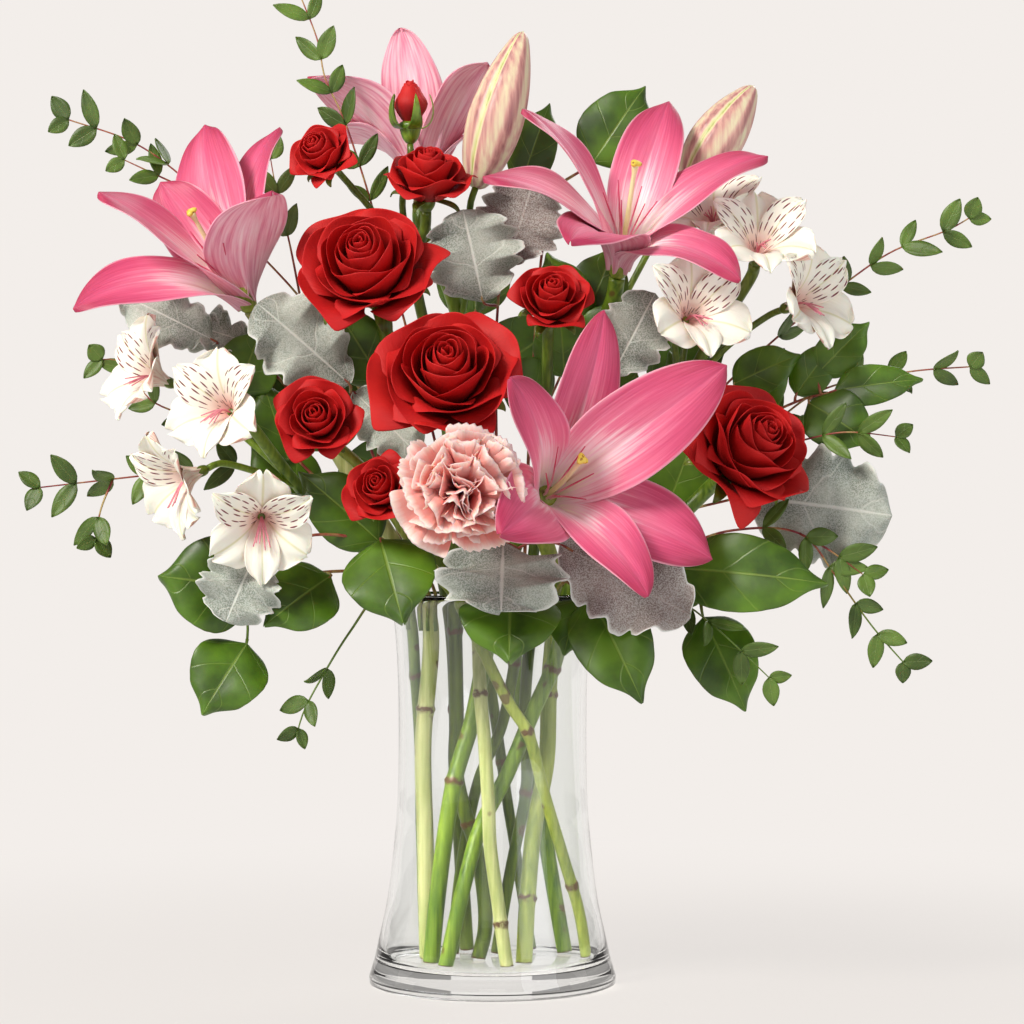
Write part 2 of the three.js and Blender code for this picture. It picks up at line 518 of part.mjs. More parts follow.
const SALAL_BRANCHES = [
  { name: 'salal_left', twig: [...fromNeck(-164), [-85, -36, 228], [-128, -45, 216], [-131, -48, 192]],
    leaves: [
      { base: [-128, -46, 218], tip: [-178, -58, 226], width: 52 },
      { base: [-131, -48, 190], tip: [-154, -62, 152], width: 42 },
      { base: [-86, -48, 226], tip: [-120, -74, 200], width: 38 },
    ] },
  { name: 'salal_upper_left', twig: [...fromNeck(165), [-80, 8, 260], [-118, -4, 300], [-138, -6, 322]],
    shoots: [[[-70, 10, 250], [-62, 2, 300], [-60, -8, 330]]],
    leaves: [
      { base: [-122, 6, 300], tip: [-144, 10, 350], width: 38 },
      { base: [-139, -6, 324], tip: [-126, -18, 360], width: 34 },
      { base: [-112, -2, 288], tip: [-126, -8, 332], width: 28 },
      { base: [-98, 6, 264], tip: [-134, 2, 302], width: 34 },
      { base: [-60, -10, 330], tip: [-86, -20, 372], width: 34 },
    ] },
  { name: 'salal_front_left', twig: [...fromNeck(-129), [-48, -56, 234], [-56, -62, 244]],
    leaves: [
      { base: [-59, -70, 246], tip: [-46, -96, 202], width: 50 },
      { base: [-60, -52, 244], tip: [-104, -48, 282], width: 36 },
    ] },
  { name: 'salal_front', twig: [...fromNeck(-70), [32, -58, 226], [48, -60, 218]],
    leaves: [
      { base: [10, -62, 219], tip: [9, -90, 182], width: 54 },
      { base: [52, -64, 216], tip: [79, -90, 160], width: 42 },
      { base: [46, -60, 214], tip: [38, -70, 184], width: 24 },
    ] },
  { name: 'salal_low_right', twig: [...fromNeck(-44), [66, -46, 230], [98, -50, 226], [112, -46, 210]],
    leaves: [
      { base: [113, -46, 204], tip: [135, -62, 154], width: 38 },
      { base: [98, -54, 230], tip: [178, -72, 222], width: 42 },
    ] },
  { name: 'salal_right', twig: [...fromNeck(17), [95, 8, 262], [140, 2, 306], [168, -8, 321], [184, -14, 325]],
    leaves: [
      { base: [186, -15, 326], tip: [234, -24, 332], width: 22 },
      { base: [172, -14, 320], tip: [206, -30, 296], width: 34 },
      { base: [166, -8, 324], tip: [188, -8, 354], width: 22 },
      { base: [178, -10, 336], tip: [206, -12, 364], width: 24 },
      { base: [140, 0, 312], tip: [160, -6, 350], width: 24 },
      { base: [132, -2, 330], tip: [168, -16, 346], width: 26 },
      { base: [96, 0, 262], tip: [112, -8, 306], width: 34 },
      { base: [116, 14, 288], tip: [98, 22, 350], width: 36 },
    ] },
  { name: 'salal_top', twig: [...fromNeck(70), [22, 50, 330], [30, 46, 420], [40, 40, 446]],
    shoots: [[[22, 50, 300], [36, 24, 332], [44, 2, 352]]],
    leaves: [
      { base: [46, 0, 356], tip: [30, -12, 402], width: 34 },
      { base: [48, -2, 350], tip: [86, -10, 368], width: 32 },
      { base: [40, 10, 334], tip: [36, -20, 374], width: 32 },
      { base: [30, 24, 318], tip: [6, -14, 342], width: 34 },
      { base: [46, 6, 352], tip: [68, 2, 408], width: 38 },
      { base: [56, 36, 456], tip: [86, 42, 500], width: 40 },
      { base: [16, 36, 444], tip: [32, 40, 490], width: 26 },
    ] },
  { name: 'salal_back', twig: [...fromNeck(90), [0, 56, 250], [-6, 68, 300], [-10, 74, 370]],
    shoots: [[[0, 56, 250], [40, 60, 290], [88, 50, 330]], [[0, 56, 250], [-44, 58, 290], [-88, 44, 330]]],
    facing: [0, 1, 0.25],
    leaves: [
      { base: [-4, 62, 262], tip: [-42, 86, 236], width: 44 },
      { base: [2, 64, 270], tip: [46, 88, 246], width: 44 },
      { base: [-8, 70, 322], tip: [-56, 90, 346], width: 42 },
      { base: [-4, 72, 338], tip: [40, 90, 368], width: 42 },
      { base: [-10, 74, 370], tip: [-14, 84, 430], width: 42 },
      { base: [42, 60, 290], tip: [90, 76, 268], width: 40 },
      { base: [64, 57, 308], tip: [66, 76, 362], width: 38 },
      { base: [88, 50, 332], tip: [134, 46, 356], width: 36 },
      { base: [74, 55, 318], tip: [122, 60, 300], width: 34 },
      { base: [-46, 58, 290], tip: [-94, 72, 268], width: 40 },
      { base: [-66, 54, 308], tip: [-82, 70, 364], width: 38 },
      { base: [-88, 44, 332], tip: [-134, 40, 354], width: 36 },
      { base: [-76, 50, 318], tip: [-124, 56, 300], width: 34 },
    ] },
];

for (const spec of DUSTY_MILLER_BRANCHES) addYielding(spec.name, branch(spec, DUSTY_MILLER), FELTED_LEAF);
for (const spec of SALAL_BRANCHES) addYielding(spec.name, branch(spec, SALAL), WAXY_LEAF);

// ---------------------------------------------------------------- eucalyptus

const EUCALYPTUS = [
  { name: 'eucalyptus_top', leafy: 0.5,
    lines: [[...fromNeck(108), [-40, 40, 330], [-60, 24, 405], [-73, 12, 450], [-83, 12, 479], [-93, 14, 501],
      [-97, 16, 521], [-109, 20, 552]]] },
  { name: 'eucalyptus_upper_left', leafy: 0.42,
    lines: [
      [...fromNeck(123), [-70, 32, 320], [-104, 20, 375], [-128, 18, 402], [-161, 15, 436], [-196, 11, 463],
        [-238, 8, 478]],
      [[-106, 20, 378], [-113, 18, 410], [-121, 18, 443], [-124, 18, 460]],
      [[-160, 15, 435], [-183, 9, 445], [-207, 6, 456]],
    ] },
  { name: 'eucalyptus_left', leafy: 0.5,
    lines: [
      [...fromNeck(139), [-90, 26, 262], [-140, 14, 286], [-167, 8, 283], [-210, 0, 278], [-252, -6, 273]],
      [[-142, 13, 287], [-167, 10, 311], [-189, 8, 322], [-206, 5, 343], [-219, 2, 344]],
      [[-208, 0, 278], [-215, -4, 261], [-218, -6, 242]],
    ] },
  { name: 'eucalyptus_low_left', leafy: 0.4,
    lines: [[...fromNeck(-136), [-56, -41, 221], [-76, -46, 196], [-90, -55, 173],
      [-100, -58, 154], [-104, -60, 141]]] },
  { name: 'eucalyptus_right', leafy: 0.55,
    lines: [[...fromNeck(56), [90, 30, 290], [150, 18, 350], [197, 10, 388], [221, 8, 404], [252, 6, 416],
      [266, 4, 424]]] },
  { name: 'eucalyptus_middle_right', leafy: 0.5,
    lines: [
      [...fromNeck(37), [110, 20, 272], [150, 16, 304], [181, 8, 327], [228, 0, 337], [266, -4, 340]],
      [[146, 16, 300], [162, -18, 298], [190, -38, 303], [221, -40, 300]],
    ] },
  { name: 'eucalyptus_low_right', leafy: 0.55,
    lines: [
      [...fromNeck(-10), [92, -14, 236], [129, -34, 250], [166, -44, 248], [184, -46, 226],
        [204, -50, 198], [222, -54, 177]],
      [[164, -44, 248], [180, -46, 240], [202, -48, 224]],
      [[92, -14, 235], [100, -28, 214], [110, -58, 206], [126, -70, 192], [149, -76, 170]],
    ] },
];

const GUM_LEAF_LENGTH = 19;
const GUM_LEAF_WIDTH = 8;
const GUM_LEAF_THICKNESS = 0.9;
const GUM_LEAF_SPACING = 28;
const VISIBLE_LEAF_RUN = 150;

// A pair of small opposite leaves as one bent, flat octahedron: its two long corners are
// the leaf tips, and it is as wide as a leaf where it crosses the twig.
function gumPair(at, along, side, normal) {
  const tip = (hand) => along.clone().multiplyScalar(0.7 * GUM_LEAF_LENGTH)
    .addScaledVector(side, 0.7 * GUM_LEAF_LENGTH * hand);
  const geometry = new THREE.OctahedronGeometry(1);
  const position = geometry.attributes.position;
  const corner = new THREE.Vector3();
  for (let i = 0; i < position.count; i += 1) {
    const [x, y, z] = [position.getX(i), position.getY(i), position.getZ(i)];
    corner.copy(at);
    if (Math.abs(x) > 0.5) corner.add(tip(Math.sign(x)));
    corner.addScaledVector(along, 0.5 * GUM_LEAF_WIDTH * y);
    corner.addScaledVector(normal, GUM_LEAF_THICKNESS * z);
    position.setXYZ(i, corner.x, corner.y, corner.z);
  }
  const solid = solidFrom(geometry);
  if (solid.volume() > 0) return solid;
  geometry.applyMatrix4(new THREE.Matrix4().makeScale(-1, 1, 1));
  return solidFrom(geometry);
}

// Opposite pairs of leaves stand on the free end of each twig, each pair turned a little.
function gumSprig({ lines, leafy }) {
  const { tubes } = woodOf(lines);
  const parts = [...tubes];
  lines.forEach((line, n) => {
    const curve = new THREE.CatmullRomCurve3(line.map(vec), false, 'centripetal');
    const length = curve.getLength();
    const run = n ? 0.85 * length : Math.min(VISIBLE_LEAF_RUN, leafy * length);
    const pairs = Math.max(2, Math.round(run / GUM_LEAF_SPACING));
    for (let i = 0; i < pairs; i += 1) {
      const u = 0.985 - ((run / length) * i) / pairs;
      const at = curve.getPointAt(u);
      const along = curve.getTangentAt(u);
      const view = new THREE.Vector3(0, -1, 0).applyAxisAngle(along, 0.5 * Math.sin(2.4 * i));
      const side = new THREE.Vector3().crossVectors(along, view).normalize();
      parts.push(gumPair(at, along, side, new THREE.Vector3().crossVectors(side, along)));
    }
  });
  return join(parts);
}

for (const sprig of EUCALYPTUS) addYielding(sprig.name, gumSprig(sprig), GUM_LEAF);

export default bouquet;
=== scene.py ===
# %% [markdown]
# # Cut flowers in a clear glass vase
#
# A florist's bouquet is built the way the florist ties it: a vase first, then the stems
# that cross inside it, then one bloom on the end of each stem, and the greens last.
# Every part here is a thin sheet or a thin tube, so two small helpers do most of the work:
# one bends a grid of faces into a petal or a leaf, the other draws a ring of points out
# along a smooth line into a stem.
#
# All sizes are in millimetres until a piece is finished. The vase stands on the origin,
# X runs to the right, Z runs up and the bouquet faces -Y.

import math
import random

import bmesh
import bpy
from mathutils import Matrix, Vector


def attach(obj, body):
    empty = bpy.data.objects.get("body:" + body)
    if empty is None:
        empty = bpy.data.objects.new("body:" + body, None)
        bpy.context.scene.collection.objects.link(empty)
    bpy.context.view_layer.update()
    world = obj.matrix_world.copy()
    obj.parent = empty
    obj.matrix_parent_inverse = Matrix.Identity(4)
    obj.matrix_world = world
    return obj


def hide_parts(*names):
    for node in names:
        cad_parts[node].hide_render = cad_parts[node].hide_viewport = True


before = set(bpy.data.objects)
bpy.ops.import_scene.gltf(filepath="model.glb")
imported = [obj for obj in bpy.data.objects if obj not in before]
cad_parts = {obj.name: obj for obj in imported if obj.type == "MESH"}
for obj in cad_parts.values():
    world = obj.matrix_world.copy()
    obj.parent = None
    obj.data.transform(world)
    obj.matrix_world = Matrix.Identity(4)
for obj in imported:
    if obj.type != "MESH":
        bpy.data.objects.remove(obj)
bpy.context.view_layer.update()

MM = 0.001
UP = Vector((0, 0, 1))

# %% [markdown]
# ## Camera, light and floor
#
# The bouquet is seen level, from straight in front, with a long lens. A long lens a good
# way off keeps the near lily from looking larger than it is. The light is a large soft
# window high on the left, a weaker one on the right, one behind, and a pale room all round.

# %% Camera
LENS_LENGTH = 115.07  # millimetres
EYE = (0.0107, -1.8, 0.260)  # metres
camera_data = bpy.data.cameras.new("camera")
camera_data.sensor_width = 36
camera_data.lens = LENS_LENGTH
camera = bpy.data.objects.new("camera", camera_data)
camera.location = EYE
camera.rotation_euler = (math.radians(90), 0, 0)
bpy.context.scene.collection.objects.link(camera)
bpy.context.scene.camera = camera


# %% Colours
def srgb(code):
    """The linear colour of an sRGB hex code such as '#c8201c', with full opacity."""
    values = [int(code[i:i + 2], 16) / 255 for i in (1, 3, 5)]
    linear = [c / 12.92 if c <= 0.04045 else ((c + 0.055) / 1.055) ** 2.4 for c in values]
    return (*linear, 1.0)


# %% Lights and room
def soft_light(name, place, size, watts, colour="#ffffff", aim=(0, 0, 0.27)):
    """A large square lamp that points at the middle of the bouquet."""
    data = bpy.data.lights.new(name, "AREA")
    data.size = size
    data.energy = watts
    data.color = srgb(colour)[:3]
    lamp = bpy.data.objects.new(name, data)
    lamp.location = place
    lamp.rotation_euler = (Vector(place) - Vector(aim)).to_track_quat("Z", "Y").to_euler()
    bpy.context.scene.collection.objects.link(lamp)


soft_light("key_window", (-1.5, -1.6, 1.9), 0.75, 80, "#fffaf2")
soft_light("fill_window", (1.6, -1.5, 0.5), 1.4, 10, "#f4f7ff")
soft_light("back_window", (0.9, 1.5, 1.6), 1.0, 16, "#ffffff")
bpy.context.scene.view_settings.view_transform = "Standard"


# %% Node helper
def result(source):
    """The first output in use of a node. A socket is passed through."""
    if isinstance(source, bpy.types.NodeSocket):
        return source
    return next(socket for socket in source.outputs if socket.enabled)


def put(tree, kind, inputs=None, stops=None, **settings):
    """Adds a shader node. inputs maps a socket to a number, a hex colour, or the node or
    socket that feeds it, and stops are the (place, hex colour) pairs of a colour ramp."""
    node = tree.nodes.new("ShaderNode" + kind)
    for name, value in settings.items():
        setattr(node, name, value)
    for key, value in (inputs or {}).items():
        if isinstance(value, (bpy.types.Node, bpy.types.NodeSocket)):
            tree.links.new(result(value), node.inputs[key])
        else:
            node.inputs[key].default_value = srgb(value) if isinstance(value, str) else value
    if stops:
        elements = node.color_ramp.elements
        while len(elements) < len(stops):
            elements.new(1.0)
        for element, (place, code) in zip(elements, stops):
            element.position = place
            element.color = srgb(code)
    return node


def feed(shader, **sources):
    """Links nodes to a shader's sockets, such as Base_Color=ramp."""
    for socket, source in sources.items():
        shader.id_data.links.new(result(source), shader.inputs[socket.replace("_", " ")])


def stretched_noise(tree, vector, scale, detail):
    """Noise drawn out along an axis: scale is its grain on each axis."""
    drawn = put(tree, "Mapping", {"Vector": vector, "Scale": scale})
    return put(tree, "TexNoise", {"Vector": drawn, "Scale": 1.0, "Detail": detail})


def sheet_map(tree):
    """A sheet's map, its place along the sheet, and its distance from the midrib."""
    flat = put(tree, "UVMap", uv_map="across_along")
    parts = put(tree, "SeparateXYZ", {0: flat})
    off = put(tree, "Math", {0: parts.outputs["X"], 1: 0.5}, operation="SUBTRACT")
    return flat, parts.outputs["Y"], put(tree, "Math", {0: off}, operation="ABSOLUTE")


def start_finish(name, **constants):
    """A new material. It returns the material, its node tree and its shader."""
    material = bpy.data.materials.new(name)
    material.use_nodes = True
    shader = material.node_tree.nodes["Principled BSDF"]
    for socket, value in constants.items():
        shader.inputs[socket.replace("_", " ")].default_value = value
    return material, material.node_tree, shader


# %% Room
# The lens sees one even pale colour all round. Everything else sees a dimmer room, so the
# glass has something darker to reflect and its edges can be read.
PALE = srgb("#f3eeea")
DIM = 0.36
world = bpy.data.worlds.new("pale_room")
world.use_nodes = True
tree = world.node_tree
room = tree.nodes["Background"]
path = put(tree, "LightPath")
level = put(tree, "MapRange", {"Value": path.outputs["Is Camera Ray"], "To Min": DIM, "To Max": 1.0})
room.inputs["Color"].default_value = PALE
feed(room, Strength=level)
bpy.context.scene.world = world


# %% Floor and backdrop
def staged(name, bm, material):
    """A plain surface that isn't part of the bouquet."""
    mesh = bpy.data.meshes.new(name)
    bm.to_mesh(mesh)
    bm.free()
    mesh.materials.append(material)
    surface = bpy.data.objects.new(name, mesh)
    bpy.context.scene.collection.objects.link(surface)
    return surface


glow, tree, shader = start_finish("even_pale_backdrop", Roughness=1.0, Specular_IOR_Level=0.0)
shader.inputs["Base Color"].default_value = (0, 0, 0, 1)
shader.inputs["Emission Color"].default_value = PALE
shader.inputs["Emission Strength"].default_value = 1.0

# The floor takes a faint shadow near the vase and melts into the backdrop further out.
paper, tree, shader = start_finish("matt_pale_table", Roughness=1.0, Specular_IOR_Level=0.0)
where = put(tree, "TexCoord")
distance = put(tree, "VectorMath", {0: where.outputs["Object"]}, operation="LENGTH")
far = put(tree, "MapRange", {"Value": distance, "From Min": 0.15, "From Max": 0.8},
          interpolation_type="SMOOTHSTEP")
pale = put(tree, "Mix", {0: far, 6: "#5c5a58", 7: (0, 0, 0, 1)}, data_type="RGBA")
lit = put(tree, "MapRange", {"Value": far, "To Min": 0.80, "To Max": 1.0})
feed(shader, Base_Color=pale, Emission_Strength=lit)
shader.inputs["Emission Color"].default_value = PALE

STAGE_RADIUS = 6.0
FLOOR_DROP = 0.0004  # so that the foot of the vase is clear of it
SCREEN_HALF = 1.3
bm = bmesh.new()
bmesh.ops.create_circle(bm, cap_ends=True, segments=96, radius=STAGE_RADIUS)
bmesh.ops.translate(bm, vec=(0, 0, -FLOOR_DROP), verts=bm.verts)
staged("floor", bm, paper)
# Four pale screens stand far off. The glass sees the dimmer room between them.
for quarter in range(4):
    bm = bmesh.new()
    around = Matrix.Rotation(math.radians(90 * quarter), 4, "Z")
    upright = Matrix.Translation((0, STAGE_RADIUS, 0.4)) @ Matrix.Rotation(math.radians(90), 4, "X")
    bmesh.ops.create_grid(bm, x_segments=1, y_segments=1, size=SCREEN_HALF, matrix=around @ upright)
    staged(f"screen_{quarter}", bm, glow)

# %% [markdown]
# ## Two ways to shape a plant
#
# A petal, a tepal and a leaf are each one thin sheet. It could be cut from a flat outline
# and bent, or modelled face by face. Here a grid is laid out and each of its corners is
# carried to its place by a small formula, because the formula can be different for each
# petal of a flower and the grid keeps a tidy map of across and along for the veins.
#
# A stem is a ring of points drawn out along a smooth line. It gets thicker at its joints.


# %% Smooth lines
def smooth_line(points, step):
    """Evenly spaced points on a smooth curve through the given ones (centripetal)."""
    knots = [Vector(p) for p in points]
    knots = [2 * knots[0] - knots[1]] + knots + [2 * knots[-1] - knots[-2]]
    dense = []
    for a, b, c, d in zip(knots, knots[1:], knots[2:], knots[3:]):
        t1 = max((b - a).length, 1e-4) ** 0.5
        t2 = t1 + max((c - b).length, 1e-4) ** 0.5
        t3 = t2 + max((d - c).length, 1e-4) ** 0.5
        for i in range(24):
            t = t1 + (t2 - t1) * i / 24
            ab = a.lerp(b, t / t1)
            bc = b.lerp(c, (t - t1) / (t2 - t1))
            cd = c.lerp(d, (t - t2) / (t3 - t2))
            abc = ab.lerp(bc, t / t2)
            bcd = bc.lerp(cd, (t - t1) / (t3 - t1))
            dense.append(abc.lerp(bcd, (t - t1) / (t2 - t1)))
    dense.append(knots[-2])
    lengths = [0.0]
    for a, b in zip(dense, dense[1:]):
        lengths.append(lengths[-1] + (b - a).length)
    count = max(2, round(lengths[-1] / step))
    line = []
    k = 0
    for i in range(count + 1):
        want = lengths[-1] * i / count
        while k < len(dense) - 2 and lengths[k + 1] < want:
            k += 1
        share = (want - lengths[k]) / max(lengths[k + 1] - lengths[k], 1e-6)
        line.append(dense[k].lerp(dense[k + 1], share))
    return line


def bezier(a, b, c, d):
    """The curve from a to d that b and c pull on, as a function of 0..1."""
    def at(t):
        s = 1 - t
        return a * s ** 3 + b * (3 * s * s * t) + c * (3 * s * t * t) + d * t ** 3
    return at


def bowed(a, d, face, bow):
    """A plain arch from a to d that stands out towards face by bow at its middle."""
    middle = (a + d) / 2 + face * bow
    return bezier(a, a.lerp(middle, 2 / 3), d.lerp(middle, 2 / 3), d)


def step_up(low, high, x):
    """0 below low, 1 above high, and a soft slope between."""
    t = min(1.0, max(0.0, (x - low) / (high - low)))
    return t * t * (3 - 2 * t)


# %% A sheet of faces
def new_plant():
    """An empty bmesh with a map for patterns and a tone for each corner."""
    bm = bmesh.new()
    bm.loops.layers.uv.new("across_along")
    bm.verts.layers.float.new("tone")
    return bm


def sheet(bm, across, along, place, tone=0.5):
    """Lays a grid and carries each corner to place(u, v): u is -1..1, v is 0..1."""
    layer = bm.verts.layers.float["tone"]
    grid = bmesh.ops.create_grid(bm, x_segments=across, y_segments=along, size=1, calc_uvs=True)
    for corner in grid["verts"]:
        u, v = corner.co.x, (corner.co.y + 1) / 2
        corner[layer] = tone
        corner.co = place(u, v)
    return grid["verts"]


def blade(spine, face, half_width, lift=lambda u, v: 0.0, slide=lambda u, v: 0.0):
    """The place function of a leaf or tepal that follows a spine. half_width and lift are
    in millimetres, and slide moves a point along the spine."""
    chord = spine(1.0) - spine(0.0)
    side = chord.cross(face).normalized()

    def place(u, v):
        w = min(1.0, max(0.0, v + slide(u, v)))
        ahead = spine(min(1.0, w + 0.02)) - spine(max(0.0, w - 0.02))
        normal = side.cross(ahead.normalized()).normalized()
        return spine(w) + side * (u * half_width(v)) + normal * lift(u, v)
    return place


# %% A tube along a line
def ring_frames(line):
    """A turning frame for each point of a line, carried along without twist."""
    frames = []
    out = None
    for i, here in enumerate(line):
        ahead = (line[min(i + 1, len(line) - 1)] - line[max(i - 1, 0)]).normalized()
        if out is None:
            out = ahead.orthogonal().normalized()
        out = (out - ahead * out.dot(ahead)).normalized()
        turn = Matrix((out, ahead.cross(out), ahead)).transposed().to_4x4()
        frames.append(Matrix.Translation(here) @ turn)
    return frames


def tube(bm, line, radius, sides=10, tone=0.5, cap_material=0):
    """Draws a ring out along a line. radius(i, t) is the size at point i, t is 0..1."""
    layer = bm.verts.layers.float["tone"]
    frames = ring_frames(line)
    last = len(line) - 1
    ring = bmesh.ops.create_circle(bm, segments=sides, radius=1.0)["verts"]
    flat = [corner.co.copy() for corner in ring]
    tones = tone if callable(tone) else (lambda t: tone)
    for i, frame_here in enumerate(frames):
        t = i / last
        if i:
            edges = [e for e in {e for v in ring for e in v.link_edges}
                     if e.verts[0] in ring and e.verts[1] in ring]
            new = bmesh.ops.extrude_edge_only(bm, edges=edges)["geom"]
            fresh = [g for g in new if isinstance(g, bmesh.types.BMVert)]
            ring = [min(fresh, key=lambda v, c=c: (v.co - c.co).length_squared) for c in ring]
        size = radius(i, t)
        for corner, spot in zip(ring, flat):
            corner.co = frame_here @ (spot * size)
            corner[layer] = tones(t)
        if i == 0:
            foot = ring
    bm.faces.new(foot[::-1]).material_index = cap_material
    bm.faces.new(ring)
    return foot


# %% Finishing a piece
def order_faces(bm):
    """Puts the faces in an order that is the same each run, by their three lowest corners."""
    bm.verts.index_update()

    def place_in_line(face):
        a, b, c = sorted(corner.index for corner in face.verts)[:3]
        return (a * 1e5 + b) * 1e5 + c
    bm.faces.sort(key=place_in_line)


def finish_piece(name, bm, materials, node=None, thickness=0.0, levels=1, doubles=0.0):
    """Turns a bmesh in millimetres into a piece in metres that rides on the bouquet."""
    if doubles:
        bmesh.ops.remove_doubles(bm, verts=bm.verts, dist=doubles)
    bmesh.ops.scale(bm, vec=(MM, MM, MM), verts=bm.verts)
    order_faces(bm)
    mesh = bpy.data.meshes.new(name)
    bm.to_mesh(mesh)
    bm.free()
    mesh.shade_smooth()
    for material in materials:
        mesh.materials.append(material)
    piece = bpy.data.objects.new(name, mesh)
    bpy.context.scene.collection.objects.link(piece)
    if thickness:
        shell = piece.modifiers.new("thickness", "SOLIDIFY")
        shell.thickness = thickness * MM
        shell.offset = 0
        shell.material_offset = len(materials) - 1
        shell.material_offset_rim = len(materials) - 1 if len(materials) == 3 else 0
    if levels:
        smooth = piece.modifiers.new("rounding", "SUBSURF")
        smooth.levels = levels
        smooth.render_levels = levels
    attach(piece, "root")
    if node:
        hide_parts(node)
    return piece


def facing_frame(base, facing, roll=0.0):
    """The matrix that stands a flower made along +Z on its base, turned to face."""
    turn = UP.rotation_difference(Vector(facing).normalized()).to_matrix().to_4x4()
    return Matrix.Translation(Vector(base)) @ turn @ Matrix.Rotation(roll, 4, "Z")

# %% [markdown]
# ## The vase
#
# A gathering vase is blown into a mould from soda-lime glass: a thick solid foot, a waist
# where the stems cross and a lip that flares. Its section is drawn once, from the middle
# of the underside, up the outside, over the lip and down the inside, and spun. The wall
# is real, because light bends where it enters the glass and again where it leaves.

# %% Glass
clear_glass, tree, shader = start_finish(
    "polished_soda_lime_glass", Roughness=0.0, IOR=1.5, Transmission_Weight=1.0)
where = put(tree, "TexCoord")
waves = stretched_noise(tree, where.outputs["Object"], (30, 30, 6), 1.0)
tint = put(tree, "Mix", {0: waves, 6: "#fdfefe", 7: "#f8fbfa"}, data_type="RGBA")
ripple = put(tree, "Bump", {"Height": waves, "Strength": 0.04, "Distance": 0.002})
feed(shader, Base_Color=tint, Normal=ripple)

# %% Spinning a section
VASE_SECTION = [
    (0, 0), (60, 0), (65, 0.4), (67.4, 1.6), (68, 3.6), (67.6, 6.5), (66.4, 10), (64.4, 17), (62.5, 26),
    (58.1, 46), (55.1, 69), (52.7, 94), (51.7, 125), (52.1, 170), (54.2, 200), (56.5, 211),
    (57.4, 214), (57, 215), (55.8, 215.3), (54.4, 214.8), (53.4, 212.6), (50.7, 200), (48.5, 165),
    (48.2, 115), (49.6, 90), (51.4, 69), (54.6, 44), (58.3, 26), (59.3, 19), (59, 14.6), (57, 12.2),
    (52, 11.2), (40, 11), (0, 11),
]


def turned(bm, section, sides, lobes=0, depth=0.0, place=None, smooth=0.0):
    """Spins a section of (radius, height) pairs about +Z, with shallow lobes round it."""
    points = [Vector((r, 0, h)) for r, h in section]
    if smooth:
        points = smooth_line(points, smooth)
    points[0].x = points[-1].x = 0.0
    corners = [bm.verts.new(p) for p in points]
    edges = [bm.edges.new(pair) for pair in zip(corners, corners[1:])]
    before = set(bm.verts)
    bmesh.ops.spin(bm, geom=corners + edges, cent=(0, 0, 0), axis=(0, 0, 1), angle=math.tau,
                   steps=sides, use_merge=True)
    made = corners + [v for v in bm.verts if v not in before]
    bmesh.ops.remove_doubles(bm, verts=made, dist=0.001)
    made = [v for v in made if v.is_valid]
    for corner in made:
        swell = 1 + depth * math.cos(lobes * math.atan2(corner.co.y, corner.co.x))
        corner.co.x *= swell
        corner.co.y *= swell
    faces = {f for v in made for f in v.link_faces}
    bmesh.ops.recalc_face_normals(bm, faces=list(faces))
    if place:
        bmesh.ops.transform(bm, matrix=place, verts=made)
    return made


bm = new_plant()
turned(bm, VASE_SECTION, 128, smooth=4.0)
vase = finish_piece("glass_vase", bm, [clear_glass], "vase", levels=0)
vase.visible_shadow = False  # clear glass lets the lamps reach the stems
print("vase faces", len(vase.data.polygons))

# %% [markdown]
# ## Stems
#
# Each stem stands on the floor of the vase, leans across its neighbours and fans out over
# the rim. Inside the glass the differences show: lilies have thick apple-green stems,
# roses darker ones with brown scars where thorns and leaves were stripped, the carnation
# a pale ribbed one. They are tubes whose radius swells at each joint, and a tone painted
# on those rings browns them.


# %% Stem finishes
def stem_finish(name, shade, light, rib_depth):
    """Fresh stem skin: a waxy green that is lighter along one streak, brown at joints."""
    material, tree, shader = start_finish(name, Roughness=0.38, Subsurface_Weight=0.05,
                                          Subsurface_Scale=0.002)
    where = put(tree, "TexCoord")
    # Ribs are about 2 mm apart round the stem and run about 70 mm along it.
    fibre = stretched_noise(tree, where.outputs["Object"], (420, 420, 14), 3.0)
    broad = put(tree, "TexNoise", {"Vector": where.outputs["Object"], "Scale": 22.0, "Detail": 2.0})
    mixed = put(tree, "Math", {0: fibre, 1: broad}, operation="ADD")
    skin = put(tree, "MapRange", {"Value": mixed, "From Min": 0.75, "From Max": 1.25})
    green = put(tree, "Mix", {0: skin, 6: shade, 7: light}, data_type="RGBA")
    tone = put(tree, "Attribute", attribute_name="tone")
    speck = put(tree, "TexNoise", {"Vector": where.outputs["Object"], "Scale": 420.0, "Detail": 3.0})
    stained = put(tree, "Math", {0: tone.outputs["Fac"], 1: speck}, operation="MULTIPLY")
    brown = put(tree, "MapRange", {"Value": stained, "From Min": 0.26, "From Max": 0.46})
    # Scars a few millimetres across are left where a leaf or a thorn was pulled off.
    patchy = put(tree, "TexNoise", {"Vector": where.outputs["Object"], "Scale": 85.0, "Detail": 1.0})
    scar = put(tree, "MapRange", {"Value": patchy, "From Min": 0.7, "From Max": 0.74, "To Max": 0.8})
    marked = put(tree, "Math", {0: brown, 1: scar}, operation="MAXIMUM")
    colour = put(tree, "Mix", {0: marked, 6: green, 7: "#5c3a12"}, data_type="RGBA")
    ribs = put(tree, "Bump", {"Height": fibre, "Strength": rib_depth, "Distance": 0.0006})
    feed(shader, Base_Color=colour, Normal=ribs)
    return material


bright_stem = stem_finish("bright_lily_stem", "#43650a", "#87a32e", 0.4)
olive_stem = stem_finish("olive_rose_stem", "#3a4e08", "#6f8420", 0.4)
pale_stem = stem_finish("pale_ribbed_stem", "#8d9a48", "#c9cc8e", 0.8)
lime_stem = stem_finish("yellow_green_stem", "#6a7f18", "#a8b44a", 0.5)

